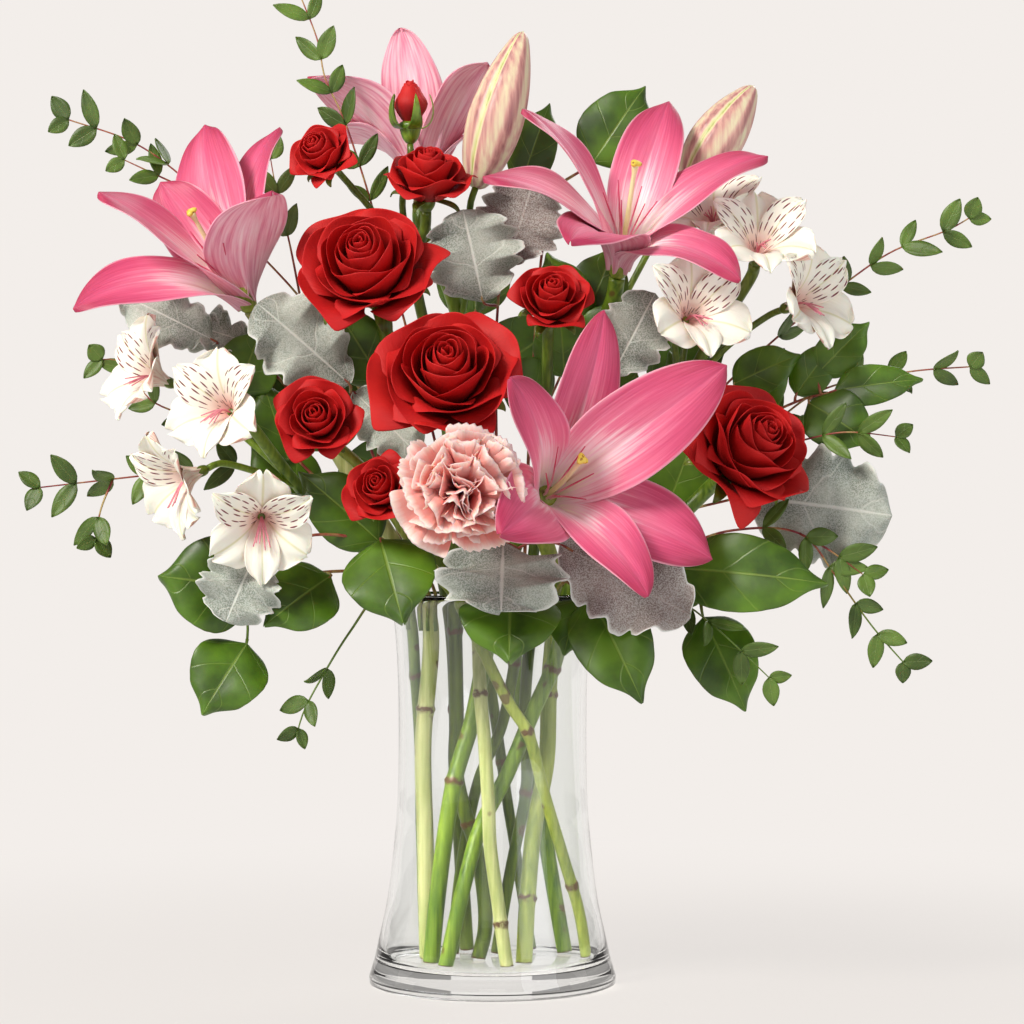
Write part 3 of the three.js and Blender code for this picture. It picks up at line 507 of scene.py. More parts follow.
pith, tree, shader = start_finish("cut_stem_pith", Roughness=0.75)
where = put(tree, "TexCoord")
dots = put(tree, "TexNoise", {"Vector": where.outputs["Object"], "Scale": 1400.0})
flesh = put(tree, "Mix", {0: dots, 6: "#e9e4bf", 7: "#b9b57c"}, data_type="RGBA")
feed(shader, Base_Color=flesh)

# %% Where the blooms are
LARGE_ROSE = 78
ROSES = {
    "rose_bloom_upper": ((-68, -66, 395), (-0.15, -0.82, 0.55), LARGE_ROSE),
    "rose_bloom_centre": ((-23, -96, 336), (0, -0.86, 0.51), LARGE_ROSE + 2),
    "rose_bloom_right": ((141, -65, 298), (0.45, -0.75, 0.48), LARGE_ROSE - 3),
    "spray_rose_top_left": ((-94, -35, 456), (-0.45, -0.75, 0.48), 40),
    "spray_rose_top": ((-35, -27, 447), (0.05, -0.5, 0.86), 50),
    "spray_rose_right": ((32, -55, 377), (0.05, -0.8, 0.6), 46),
    "spray_rose_left": ((-92, -86, 310), (-0.1, -0.95, 0.3), 48),
    "spray_rose_low": ((-59, -92, 274), (-0.25, -0.9, 0.35), 40),
}
SPRAY_BUD = ((-45, -6, 462), (0, -0.1, 1))
LILIES = {
    "lily_front": ((24, -48, 265), (0.38, -0.88, 0.27)),
    "lily_upper_right": ((68, -15, 388), (0.15, -0.45, 0.88)),
    "lily_left": ((-131, -20, 370), (-0.5, -0.45, 0.74)),
    "lily_top": ((-40, 30, 434), (0, 0.38, 0.92)),
}
BUDS = {
    "lily_bud_left": ((-9.4, 5, 439), (17, 10, 526), 32),
    "lily_bud_right": ((108, 24, 442), (146, 27, 498), 31),
}
FLORET_DEPTH = 23
FLORETS = {
    "alstroemeria_left_1": ((-190, -35, 337), (-0.75, -0.55, 0.35)),
    "alstroemeria_left_2": ((-146, -72, 317), (-0.45, -0.85, 0.25)),
    "alstroemeria_left_3": ((-171, -52, 275), (-0.75, -0.5, -0.35)),
    "alstroemeria_left_4": ((-120, -86, 252), (0.1, -0.9, -0.35)),
    "alstroemeria_right_1": ((109, -66, 368), (0.35, -0.85, 0.35)),
    "alstroemeria_right_2": ((145, -38, 409), (0.1, -0.75, 0.6)),
    "alstroemeria_right_3": ((173, -34, 376), (0.65, -0.65, 0.25)),
    "alstroemeria_right_4": ((120, -8, 426), (-0.1, -0.6, 0.75)),
}
CARNATION_MIDDLE = (-16, -128, 271)
CARNATION_FACING = (0, -0.97, 0.12)


def step_back(place, facing, distance):
    return Vector(place) - Vector(facing).normalized() * distance


def into_bloom(base, facing, run):
    """The last two points of a stem, straight into the back of its bloom."""
    return [step_back(base, facing, run), step_back(base, facing, 0.3)]


rose_base = {name: step_back(middle, facing, 0.52 * size) for name, (middle, facing, size) in ROSES.items()}
floret_base = {name: step_back(middle, facing, FLORET_DEPTH) for name, (middle, facing) in FLORETS.items()}
carnation_base = step_back(CARNATION_MIDDLE, CARNATION_FACING, 34)


def route(name):
    """The last stretch of the stem that carries a bloom."""
    if name in ROSES:
        return into_bloom(rose_base[name], ROSES[name][1], 0.2 * ROSES[name][2])
    if name in LILIES:
        return into_bloom(LILIES[name][0], LILIES[name][1], 14)
    if name in BUDS:
        base, tip, _ = BUDS[name]
        return into_bloom(base, Vector(tip) - Vector(base), 10)
    if name in FLORETS:
        return into_bloom(floret_base[name], FLORETS[name][1], 8)
    return into_bloom(carnation_base, CARNATION_FACING, 12)


# %% Stem routes
FOOT = 12.6
ROSE, SPRAY, LILY, CARNATION, ALSTROEMERIA, PEDICEL = 4.1, 3.1, 4.5, 3.6, 3.3, 1.9
# Each stem: its finish, radius, joint heights, the bloom it ends in, its line, its stalks.
STEMS = {
    "rose_stem_upper": (olive_stem, ROSE, [150], "rose_bloom_upper",
        [(-15, 42, FOOT), (-20, 32, 100), (-24, 16, 205), (-45, -5, 300)], []),
    "rose_stem_centre": (olive_stem, ROSE, [195, 88], "rose_bloom_centre",
        [(-8, -4, FOOT), (-4, 0, 32), (-7, 3, 65), (-20, 6, 115), (-20, 6, 146), (-21, 2, 205),
         (-22, -24, 262)], []),
    "rose_stem_right": (bright_stem, ROSE, [175], "rose_bloom_right",
        [(-25, -38, FOOT), (-14.6, -33, 60), (-6, -26, 90), (8, -24, 118), (22, -24, 152),
         (33, -23, 178), (39, -20, 204), (44, -21, 221), (88, -24, 246)], []),
    "spray_stem_top": (olive_stem, SPRAY, [120], "spray_rose_top",
        [(22, 42, FOOT), (8, 36, 100), (-8, 28, 205), (-30, 16, 330), (-43, 6, 395)],
        [[(-40, 8, 380), (-62, -3, 420), "spray_rose_top_left"], [(-41, 7, 388), (-50, 12, 430), "bud"]]),
    "spray_stem_right": (olive_stem, SPRAY, [177], "spray_rose_right",
        [(-22, 20, FOOT), (-20, 20, 46), (-14, 18, 85), (-7.4, 14, 113), (4.8, 8, 141), (12.4, 1, 178),
         (18, 3, 205), (28, -14, 290)], []),
    "spray_stem_left": (lime_stem, SPRAY, [142, 56], "spray_rose_left",
        [(52, -4, FOOT), (47, -9, 41), (38, -17, 72), (27, -26, 110), (18.4, -38, 142), (9, -40, 157),
         (-8, -41, 192), (-19, -44, 214), (-40, -56, 240), (-70, -56, 284)],
        [[(-38, -55, 238), (-47, -60, 254), "spray_rose_low"]]),
    "lily_stem_left": (pale_stem, LILY, [152], "lily_left",
        [(-35.5, -8, FOOT), (-36.6, -8, 85), (-37.7, -8, 132), (-34, -8, 200), (-42, -10, 222),
         (-80, -14, 285), (-112, -15, 340)], []),
    "lily_stem_top": (bright_stem, LILY, [], "lily_top",
        [(41, 23, FOOT), (26, 35, 100), (8, 40, 205), (-10, 42, 330), (-24, 36, 385)],
        [[(-18, 38, 365), (-12, 18, 405), "lily_bud_left"]]),
    "lily_stem_right": (bright_stem, LILY, [113], "lily_upper_right",
        [(-33, -25, FOOT), (-30, -23, 46), (-24, -17, 94), (-20, -14, 116), (-11, -9, 146),
         (-4.7, -5, 178), (2, -2, 210), (30, 13, 290), (52, 8, 345)],
        [[(42, 12, 322), (76, 22, 385), "lily_bud_right"]]),
    "lily_stem_front": (lime_stem, LILY, [160, 50], "lily_front",
        [(17, -25, FOOT), (19, -20, 51), (23, -11, 90), (29.4, -6, 123), (31, -4, 165), (34, -6, 210),
         (30, -26, 240)], []),
    "carnation_stem": (pale_stem, CARNATION, [162, 38], "carnation_bloom",
        [(8, -38, FOOT), (3, -37, 50), (-1, -37, 80), (-2, -36, 103), (-4, -34, 135), (-6.5, -30, 165),
         (-8, -27, 200), (-13, -48, 242)], []),
    "alstroemeria_stem_left": (bright_stem, ALSTROEMERIA, [170], "alstroemeria_left_2",
        [(-38, 18, FOOT), (-40, 13, 80), (-41, 7, 137), (-43, 3, 170), (-45, 0, 200), (-50, -2, 219),
         (-92, -10, 258), (-112, -22, 282)],
        [[(-108, -20, 277), (-140, -12, 305), "alstroemeria_left_1"],
         [(-106, -18, 274), (-128, -28, 282), "alstroemeria_left_3"],
         [(-100, -14, 268), (-118, -40, 268), "alstroemeria_left_4"]]),
    "alstroemeria_stem_right": (olive_stem, ALSTROEMERIA, [105], "alstroemeria_right_2",
        [(2, 25, FOOT), (8, 22, 50), (15, 18, 85), (19, 15, 110), (18, 11, 155), (26, 8, 208),
         (65, 4, 270), (104, -8, 326), (118, -16, 352)],
        [[(98, -6, 316), (100, -24, 338), "alstroemeria_right_1"],
         [(102, -7, 322), (130, -12, 352), "alstroemeria_right_3"],
         [(101, -6, 320), (110, 8, 370), "alstroemeria_right_4"]]),
}
JOINT_BAND = 1.6


def jointed(line, radius, joints):
    """The radius along a stem: it swells by a fifth at each joint."""
    def size(i, t):
        near = max((math.exp(-(((line[i].z - z) / JOINT_BAND) ** 2)) for z in joints), default=0.0)
        return radius * (1 + 0.22 * near)
    return size


def brownness(line, joints):
    """1 at a joint and at the cut foot, 0 between."""
    def tone(t):
        z = line[round(t * (len(line) - 1))].z
        near = max((math.exp(-(((z - j) / (1.8 * JOINT_BAND)) ** 2)) for j in joints), default=0.0)
        return max(near, 1 - step_up(FOOT, FOOT + 3, z))
    return tone


for name, (skin, radius, joints, bloom, points, stalks) in STEMS.items():
    bm = new_plant()
    line = smooth_line(points + route(bloom), 2.0)
    tube(bm, line, jointed(line, radius, joints), 14, brownness(line, joints), cap_material=1)
    for *start, end in stalks:
        last = into_bloom(*SPRAY_BUD, 12) if end == "bud" else route(end)
        stalk = smooth_line(start + last, 4.0)
        tube(bm, stalk, lambda i, t: PEDICEL, 10, 0.0)
    finish_piece(name + "_skin", bm, [skin, pith], name, levels=0)
print("stems", len(STEMS))

# %% [markdown]
# ## Roses
#
# A red rose opens from a tight coil: the inner petals wrap each other in a spiral and the
# outer ones cup, lean out and roll their rims back. A bowl with rings carved into it
# would look like a cabbage from the side, so every petal is its own sheet. The petals
# follow each other by the golden angle, as they do on the plant, and only three things
# change from the middle out: how far the rim stands, how high it is and how much it rolls.


# %% Petal finish
def petal_finish(name, deep, mid, bright, vein_scale, sheen, depth=0.25):
    """A soft, thin petal: painted shade makes it darker low down, deep in the bloom; fine veins along it, a
    velvet sheen.
    """
    material, tree, shader = start_finish(name, Roughness=0.62, Sheen_Weight=sheen,
                                          Sheen_Roughness=0.45, Subsurface_Weight=0.08,
                                          Subsurface_Scale=0.003, Specular_IOR_Level=0.3)
    shader.inputs["Sheen Tint"].default_value = srgb(bright)
    where = put(tree, "TexCoord")
    flat = put(tree, "UVMap", uv_map="across_along")
    parts = put(tree, "SeparateXYZ", {0: flat})
    # Painted shade: the petal goes from the deep colour at its base, down in the bloom, to the mid colour
    # higher up.
    up = put(tree, "MapRange", {"Value": parts.outputs["Y"], "From Min": 0.15, "From Max": 0.95})
    body = put(tree, "Mix", {0: up, 6: deep, 7: mid}, data_type="RGBA")
    clouds = put(tree, "TexNoise", {"Vector": where.outputs["Object"], "Scale": 60.0, "Detail": 3.0})
    patch = put(tree, "MapRange", {"Value": clouds, "From Min": 0.4, "From Max": 0.75, "To Max": 0.55})
    colour = put(tree, "Mix", {0: patch, 6: body, 7: bright}, data_type="RGBA")
    veins = stretched_noise(tree, flat, (vein_scale, 4, 1), 2.0)
    bump = put(tree, "Bump", {"Height": veins, "Strength": depth, "Distance": 0.0008})
    feed(shader, Base_Color=colour, Normal=bump)
    return material


# The first colour is the painted shade at the petal bases, deep in the rose.
red_velvet = petal_finish("scarlet_rose_petal", "#7c0c10", "#ba1417", "#d2241d", 46, 0.25)

# %% One rose
GOLDEN_ANGLE = math.radians(137.5)


def rose(bm, size, petals, seed, opening=1.0, height=0.76):
    """A rose head that stands on the origin and faces +Z, size across."""
    chance = random.Random(seed)
    for i in range(petals):
        t = i / (petals - 1)
        rim = size * (0.035 + 0.395 * t ** 1.05 * opening)
        top = size * (height - 0.02 - 0.25 * t ** 1.8)
        spread = math.radians(132 - 68 * t ** 0.8)
        turn = i * GOLDEN_ANGLE + chance.uniform(-0.12, 0.12)
        phase = chance.uniform(0, math.tau)
        roll = size * 0.12 * step_up(0.3, 1.0, t) * chance.uniform(0.8, 1.2)
        lean = 0.34 * (1 - t) ** 1.5
        wave = size * (0.006 + 0.014 * t)

        def place(u, v, rim=rim, top=top, spread=spread, turn=turn, phase=phase, roll=roll,
                  lean=lean, wave=wave):
            side = abs(u)
            w = v * (1 - 0.12 * side ** 2)
            bowl = w * math.pi / 2
            r = size * 0.03 + (rim - size * 0.03) * math.sin(bowl) ** 0.8
            z = size * 0.12 + (top - size * 0.12) * (1 - math.cos(bowl)) ** 0.62
            r *= 1 - lean * v ** 3
            curl = step_up(0.62, 1.0, v)
            r += roll * curl * (0.6 + 0.5 * side ** 1.5)
            z -= roll * curl ** 2 * (0.2 + 0.9 * side ** 1.5)
            r += wave * math.sin(4.3 * u + phase) * v ** 3
            z += wave * math.sin(5.1 * u + 2 * phase) * v ** 4
            r *= 1 + 0.07 * u
            fan = 0.55 + 0.45 * math.sin(min(1.0, w * 1.3) * math.pi / 2)
            fan *= 1 - 0.42 * t * step_up(0.55, 1.0, v) ** 1.4
            angle = turn + u * spread * fan
            return Vector((r * math.cos(angle), r * math.sin(angle), z))
        sheet(bm, 12, 9, place, tone=t)


def calyx(bm, size, seed):
    """The green hip under a rose and its five sepals, on the origin under +Z."""
    chance = random.Random(seed)
    hip = [(0, 0), (0.055, 0.0), (0.075, 0.03), (0.1, 0.08), (0.1, 0.13), (0.07, 0.16), (0, 0.16)]
    turned(bm, [(r * size, h * size) for r, h in hip], 16)
    for i in range(5):
        angle = math.tau * i / 5 + chance.uniform(-0.2, 0.2)
        out = Vector((math.cos(angle), math.sin(angle), 0))
        root = out * 0.07 * size + UP * 0.14 * size
        tip = out * size * chance.uniform(0.34, 0.42) + UP * size * chance.uniform(-0.02, 0.16)
        spine = bezier(root, root + out * 0.15 * size + UP * 0.02 * size, tip + UP * 0.12 * size, tip)
        place = blade(spine, UP, lambda v: 0.055 * size * math.sin(math.pi * (0.12 + 0.88 * v)) + 0.2,
                      lambda u, v: 0.012 * size * u * u)
        sheet(bm, 4, 8, place)


# %% All the roses
LARGE_PETALS, SPRAY_PETALS = 28, 20
for number, (name, (middle, facing, size)) in enumerate(ROSES.items()):
    stand = facing_frame(rose_base[name], facing, roll=1.1 * number)
    count = LARGE_PETALS if size > 60 else SPRAY_PETALS
    bm = new_plant()
    rose(bm, size, count, seed=10 + number)
    bmesh.ops.transform(bm, matrix=stand, verts=bm.verts)
    finish_piece(name + "_petals", bm, [red_velvet], name, thickness=0.5)
    bm = new_plant()
    calyx(bm, size, seed=30 + number)
    bmesh.ops.transform(bm, matrix=stand, verts=bm.verts)
    finish_piece(name + "_calyx", bm, [olive_stem], thickness=0.7)

stand = facing_frame(*SPRAY_BUD)
bm = new_plant()
for i in range(9):
    def bud_petal(u, v, i=i):
        tight = 11 * (0.35 + 0.65 * i / 8)
        r = 1 + (tight - 1) * math.sin(min(1.0, 1.35 * v) * math.pi / 2) - 0.55 * tight * step_up(0.5, 1.0, v)
        angle = i * GOLDEN_ANGLE + u * 1.6
        return Vector((r * math.cos(angle) * (1 + 0.08 * u), r * math.sin(angle) * (1 + 0.08 * u),
                       9 + (26 - 0.5 * i) * v * (1 - 0.12 * abs(u) ** 3)))
    sheet(bm, 10, 8, bud_petal, tone=i / 8)
bmesh.ops.transform(bm, matrix=stand, verts=bm.verts)
finish_piece("spray_rose_bud_petals", bm, [red_velvet], "spray_rose_bud", thickness=0.5)

bm = new_plant()
turned(bm, [(0, 0), (2.2, 0), (4.6, 3), (5.4, 7), (6.4, 10), (5.5, 12), (0, 12)], 14)
for i in range(5):
    angle = math.tau * i / 5
    out = Vector((math.cos(angle), math.sin(angle), 0))
    root = out * 5.2 + UP * 8
    tip = out * 10.5 + UP * 27
    spine = bezier(root, root + out * 8, tip + out * 4 - UP * 8, tip)
    sheet(bm, 4, 8, blade(spine, -out, lambda v: 4.2 * (1 - v) ** 0.7 + 0.2))
bmesh.ops.transform(bm, matrix=stand, verts=bm.verts)
finish_piece("spray_rose_bud_calyx", bm, [bright_stem], thickness=0.7)
print("roses", len(ROSES) + 1)

# %% [markdown]
# ## Lilies
#
# A lily is six tepals on a short trumpet, three narrow and three broad. Each leaves the
# throat along the flower, opens flat and bends its tip back, with a groove down its
# middle and a soft wave along its edges. The spine is one curve from throat to tip, and
# the groove, the cup and the wave are the lift of the sheet above it.

# %% Tepal finishes
pink_tepal, tree, shader = start_finish("pink_lily_tepal", Roughness=0.5, Subsurface_Weight=0.12,
                                        Subsurface_Scale=0.004, Sheen_Weight=0.1)
flat, up, away = sheet_map(tree)
# White runs up the middle from the throat and is gone by two thirds of the way.
climb = put(tree, "Math", {0: up, 1: 0.72}, operation="MULTIPLY")
reach = put(tree, "Math", {0: away, 1: 0.4, 2: climb}, operation="MULTIPLY_ADD")
streaks = stretched_noise(tree, flat, (30, 3.0, 1), 5.0)
feather = put(tree, "Math", {0: streaks, 1: 0.38, 2: reach}, operation="MULTIPLY_ADD")
pinks = put(tree, "ValToRGB", {"Fac": feather},
            stops=[(0.22, "#b3bd42"), (0.3, "#f4ecd6"), (0.45, "#f5d6dd"),
                   (0.58, "#e57898"), (0.74, "#d24f79"), (0.95, "#ad2a53")])
rim = put(tree, "MapRange", {"Value": away, "From Min": 0.46, "From Max": 0.5, "To Max": 0.75})
edged = put(tree, "Mix", {0: rim, 6: pinks, 7: "#f5bccd"}, data_type="RGBA")
groove = put(tree, "MapRange", {"Value": away, "From Min": 0.05, "From Max": 0.0, "To Max": 0.45})
colour = put(tree, "Mix", {0: groove, 6: edged, 7: "#c4527a"}, data_type="RGBA")
bump = put(tree, "Bump", {"Height": streaks, "Strength": 0.35, "Distance": 0.001})
feed(shader, Base_Color=colour, Normal=bump)

tepal_back, tree, shader = start_finish("pale_lily_tepal_back", Roughness=0.55, Subsurface_Weight=0.12,
                                        Subsurface_Scale=0.004)
flat = put(tree, "UVMap", uv_map="across_along")
streaks = stretched_noise(tree, flat, (22, 3, 1), 4.0)
backs = put(tree, "ValToRGB", {"Fac": streaks},
            stops=[(0.3, "#d4708f"), (0.5, "#e8a3b6"), (0.7, "#f3cbd4")])
bump = put(tree, "Bump", {"Height": streaks, "Strength": 0.35, "Distance": 0.001})
feed(shader, Base_Color=backs, Normal=bump)

filament_pink, tree, shader = start_finish("raspberry_filament", Roughness=0.45)
where = put(tree, "TexCoord")
mottle = put(tree, "TexNoise", {"Vector": where.outputs["Object"], "Scale": 250.0})
tone = put(tree, "Attribute", attribute_name="tone")
blush = put(tree, "Math", {0: mottle, 1: 0.3, 2: tone.outputs["Fac"]}, operation="MULTIPLY_ADD")
shades = put(tree, "ValToRGB", {"Fac": blush},
             stops=[(0.1, "#e6dfa0"), (0.45, "#efb6c0"), (0.8, "#cc3d63")])
feed(shader, Base_Color=shades)

pistil_yellow, tree, shader = start_finish("yellow_green_pistil", Roughness=0.4)
where = put(tree, "TexCoord")
mottle = put(tree, "TexNoise", {"Vector": where.outputs["Object"], "Scale": 500.0})
tone = put(tree, "Attribute", attribute_name="tone")
grain = put(tree, "Math", {0: mottle, 1: 0.25, 2: tone.outputs["Fac"]}, operation="MULTIPLY_ADD")
shades = put(tree, "ValToRGB", {"Fac": grain},
             stops=[(0.1, "#cfd77a"), (0.6, "#f0ecb6"), (1.0, "#e3c63a"),
                    (1.0, "#a8742a")])
feed(shader, Base_Color=shades)

# %% One lily
THROAT = 24
TEPAL_ROOT = 5
TIPS = {
    "lily_front": [(59, -85, 366), (122, -108, 336), (10, -142, 328), (5, -158, 249), (80, -136, 217),
                   (116, -84, 235)],
    "lily_upper_right": [(16, -55, 475), (-5, -62, 438), (98, 16, 488), (149, -34, 452), (130, -92, 381),
                         (41, -97, 401)],
    "lily_left": [(-221, -74, 367), (-158, -2, 473), (-117, 2, 472), (-116, -70, 430), (-181, -16, 440),
                  (-209, -62, 430)],
    "lily_top": [(-52, 44, 533), (-104, 34, 504), (-3, 40, 513), (-96, 92, 476), (6, 98, 484),
                 (-48, 118, 498)],
}
NARROW, BROAD = 18.5, 24.0
# How far some tepals twist towards the back (+) or the front (-) of the bouquet.
TWISTS = {"lily_left": {0: -0.7, 3: 1.1}, "lily_upper_right": {4: -0.5}}


def tepal_outline(half):
    """Narrow at the throat, widest past the middle, and drawn out to a point."""
    def width(v):
        rise = math.sin(min(1.0, v / 0.44) * math.pi / 2)
        fall = max(0.0, math.cos(max(0.0, v - 0.44) / 0.56 * math.pi / 2)) ** 0.85
        return 0.5 + (half - 0.5) * (0.1 + 0.9 * rise) * fall
    return width


def lily(bm, base, facing, tips, twists, seed):
    chance = random.Random(seed)
    axis = Vector(facing).normalized()
    heart = Vector(base) + axis * 0.45 * THROAT
    for i, tip in enumerate(tips):
        tip = Vector(tip)
        outward = tip - heart
        outward = (outward - axis * outward.dot(axis)).normalized()
        root = heart + outward * TEPAL_ROOT - axis * 0.3 * THROAT
        away = tip - root
        reach = away.length
        spine = bezier(root, root + axis * 0.36 * reach + away * 0.08,
                       tip + axis * 0.19 * reach - away * 0.26, tip)
        half = BROAD if i % 2 else NARROW
        phase = chance.uniform(0, math.tau)
        wave = chance.uniform(1.8, 3.2)

        def lift(u, v, phase=phase, wave=wave, half=half):
            groove = -2.2 * math.exp(-((u / 0.14) ** 2)) * (1 - v) ** 0.4
            cup = 0.42 * half * u * u * (1 - 1.35 * v)
            frill = wave * math.sin(9.5 * v + phase + 1.4 * (u > 0)) * abs(u) ** 3 * math.sin(math.pi * v)
            return groove + cup + frill
        face = (axis + Vector((0, twists.get(i, 0), 0))).normalized()
        sheet(bm, 12, 22, blade(spine, face, tepal_outline(half), lift), tone=0.2 * (i % 2))


def trumpet(bm, base, facing):
    """The short green-white tube that the tepals and the stem share."""
    turned(bm, [(0, 0), (4.4, 0), (5.2, 4), (6.8, 10), (6.2, 16), (0, 15)], 18, 6, 0.05,
           facing_frame(base, facing))


def stamens(pinks, yellow, base, facing, seed, length=52, bend=(0, 0, 6)):
    """Six short filaments in one mesh and the long pistil with its stigma in another."""
    chance = random.Random(seed)
    axis = Vector(facing).normalized()
    heart = Vector(base) + axis * 0.35 * THROAT
    across = axis.orthogonal().normalized()
    for i in range(6):
        around = (Matrix.Rotation(math.tau * (i + 0.3) / 6, 3, axis) @ across)
        end = heart + axis * chance.uniform(34, 42) + around * chance.uniform(11, 17) + Vector(bend) * 0.5
        line = smooth_line([heart + around * 1.5, heart + axis * 16 + around * 4, end], 3.0)
        tube(pinks, line, lambda i, t: 0.85 * (1 - 0.65 * t), 6, lambda t: 0.95 * t)
    tip = heart + axis * length + Vector(bend)
    line = smooth_line([heart, heart + axis * 0.5 * length + Vector(bend) * 0.25, tip], 3.0)
    tube(yellow, line, lambda i, t: 1.5 - 0.3 * t + 1.2 * step_up(0.9, 1.0, t), 10, lambda t: 0.1 + 0.45 * t)
    knob = bmesh.ops.create_icosphere(yellow, subdivisions=3, radius=3.0)["verts"]
    tones = yellow.verts.layers.float["tone"]
    turn = facing_frame(tip, axis)
    for corner in knob:
        angle = math.atan2(corner.co.y, corner.co.x)
        corner.co.x *= 1 + 0.22 * math.cos(3 * angle)
        corner.co.y *= 1 + 0.22 * math.cos(3 * angle)
        corner.co.z *= 0.6
        corner[tones] = 0.85
        corner.co = turn @ corner.co


# %% All the lilies
for number, (name, (base, facing)) in enumerate(LILIES.items()):
    bm = new_plant()
    lily(bm, base, facing, TIPS[name], TWISTS.get(name, {}), seed=50 + number)
    finish_piece(name + "_tepals", bm, [pink_tepal, tepal_back], name, thickness=0.8)
    bm = new_plant()
    trumpet(bm, base, facing)
    finish_piece(name + "_trumpet", bm, [lime_stem], levels=1)
    pinks_bm, yellow_bm = new_plant(), new_plant()
    stamens(pinks_bm, yellow_bm, base, facing, seed=60 + number)
    finish_piece(name + "_filaments", pinks_bm, [filament_pink], levels=0)
    finish_piece(name + "_pistil", yellow_bm, [pistil_yellow], levels=0)
print("lilies", len(LILIES))

# %% [markdown]
# ### Lily buds
#
# A closed bud is the same six tepals pressed edge to edge: three show, with a green seam
# where two meet and a rib down the middle of each.

# %% Buds
bud_skin, tree, shader = start_finish("cream_lily_bud", Roughness=0.42, Subsurface_Weight=0.1,
                                      Subsurface_Scale=0.004)
where = put(tree, "TexCoord")
tone = put(tree, "Attribute", attribute_name="tone")
cloud = stretched_noise(tree, where.outputs["Object"], (420, 420, 26), 3.0)
mixed = put(tree, "Math", {0: cloud, 1: 0.55, 2: tone.outputs["Fac"]}, operation="MULTIPLY_ADD")
shades = put(tree, "ValToRGB", {"Fac": mixed},
             stops=[(0.2, "#8f9a38"), (0.36, "#ccce8c"), (0.6, "#e3d8b6"),
                    (0.8, "#d09e94"), (1.0, "#96595f")])
fold = put(tree, "Bump", {"Height": mixed, "Strength": 0.3, "Distance": 0.001})
feed(shader, Base_Color=shades, Normal=fold)

BUD_SECTION = [(0, 0), (0.12, 0.0), (0.22, 0.04), (0.37, 0.16), (0.47, 0.33), (0.48, 0.48), (0.4, 0.68),
               (0.25, 0.86), (0.11, 0.97), (0, 1)]
for name, (base, tip, girth) in BUDS.items():
    along = Vector(tip) - Vector(base)
    bm = new_plant()
    section = [(r * girth, h * along.length) for r, h in BUD_SECTION]
    skin = turned(bm, section, 72, smooth=3.0)
    tones = bm.verts.layers.float["tone"]
    for corner in skin:
        angle = math.atan2(corner.co.y, corner.co.x)
        seam = abs(math.sin(1.5 * angle))
        rib = math.exp(-(((1 - seam) / 0.05) ** 2))
        shrink = 1 - 0.09 * math.exp(-((seam / 0.16) ** 2)) + 0.03 * rib
        corner.co.x *= shrink
        corner.co.y *= shrink
        corner[tones] = 0.6 * step_up(0.04, 0.24, seam) - 0.25 * step_up(0.3, 0.9, seam) + 0.25 * rib
    bmesh.ops.transform(bm, matrix=facing_frame(base, along), verts=bm.verts)
    finish_piece(name + "_skin", bm, [bud_skin], name, levels=0)

# %% [markdown]
# ## Carnation
#
# A carnation is a slim green tube crammed with fan-shaped petals, each pleated and cut
# into teeth along its rim. The outer ones lie flat, the inner ones stand crumpled on
# edge. The pleats are one wave across each fan, stronger towards its rim.

# %% Carnation finish
salmon, tree, shader = start_finish("salmon_carnation_petal", Roughness=0.7, Subsurface_Weight=0.35,
                                    Subsurface_Scale=0.006, Sheen_Weight=0.15)
flat = put(tree, "UVMap", uv_map="across_along")
parts = put(tree, "SeparateXYZ", {0: flat})
veins = stretched_noise(tree, flat, (34, 3, 1), 2.0)
along = put(tree, "Math", {0: veins, 1: 0.06, 2: parts.outputs["Y"]}, operation="MULTIPLY_ADD")
shades = put(tree, "ValToRGB", {"Fac": along},
             stops=[(0.25, "#cc4842"), (0.6, "#e2776f"), (0.92, "#ee9c94"),
                    (1.0, "#f9d3cc")])
bump = put(tree, "Bump", {"Height": veins, "Strength": 0.35, "Distance": 0.0008})
feed(shader, Base_Color=shades, Normal=bump)

# %% The carnation
CARNATION_RADIUS, CARNATION_TOP, CALYX_TOP = 38, 56, 22
CARNATION_PETALS = 34
chance = random.Random(7)
bm = new_plant()
for i in range(CARNATION_PETALS):
    t = i / (CARNATION_PETALS - 1)
    angle = i * GOLDEN_ANGLE + chance.uniform(-0.3, 0.3)
    out = Vector((math.cos(angle), math.sin(angle), 0))
    root = out * 2.5 + UP * (CALYX_TOP - 2)
    reach = (3 + (CARNATION_RADIUS - 4) * t ** 0.75) * chance.uniform(0.9, 1.04)
    top = (CARNATION_TOP - 23 * t ** 1.7) * chance.uniform(0.93, 1.03)
    tip = out * reach + UP * top
    spine = bezier(root, root + UP * 14 + out * 2, tip - out * 0.45 * reach + UP * 4 * t, tip)
    half = chance.uniform(17, 23) * (0.8 + 0.25 * t)
    pleats = chance.uniform(1.2, 2.0) + 0.5 * t
    phase = chance.uniform(0, math.tau)
    deep = chance.uniform(5.0, 7.5) - 3.6 * t
    twist = chance.uniform(-0.9, 0.9) * (3.2 - 2.2 * step_up(0.25, 0.5, t))

    def pleat(u, v, pleats=pleats, phase=phase, deep=deep):
        wave = math.sin(math.pi * pleats * u + phase + 1.5 * v)
        return deep * wave * v ** 1.3 + 1.2 * math.sin(9 * u - phase) * v ** 3

    def teeth(u, v, phase=phase):
        tooth = 0.045 * math.cos(math.pi * 12 * u + phase) * step_up(0.85, 1.0, v)
        return v * (-0.16 * u * u) + tooth - 0.03
    face = (UP - out * (1.2 - t) + out.cross(UP) * twist).normalized()
    sheet(bm, 24, 8, blade(spine, face, lambda v, half=half: 1.5 + half * v ** 1.2, pleat, teeth), tone=t)
stand = facing_frame(carnation_base, CARNATION_FACING)
bmesh.ops.transform(bm, matrix=stand, verts=bm.verts)
finish_piece("carnation_petals", bm, [salmon], "carnation_bloom", thickness=0.4)

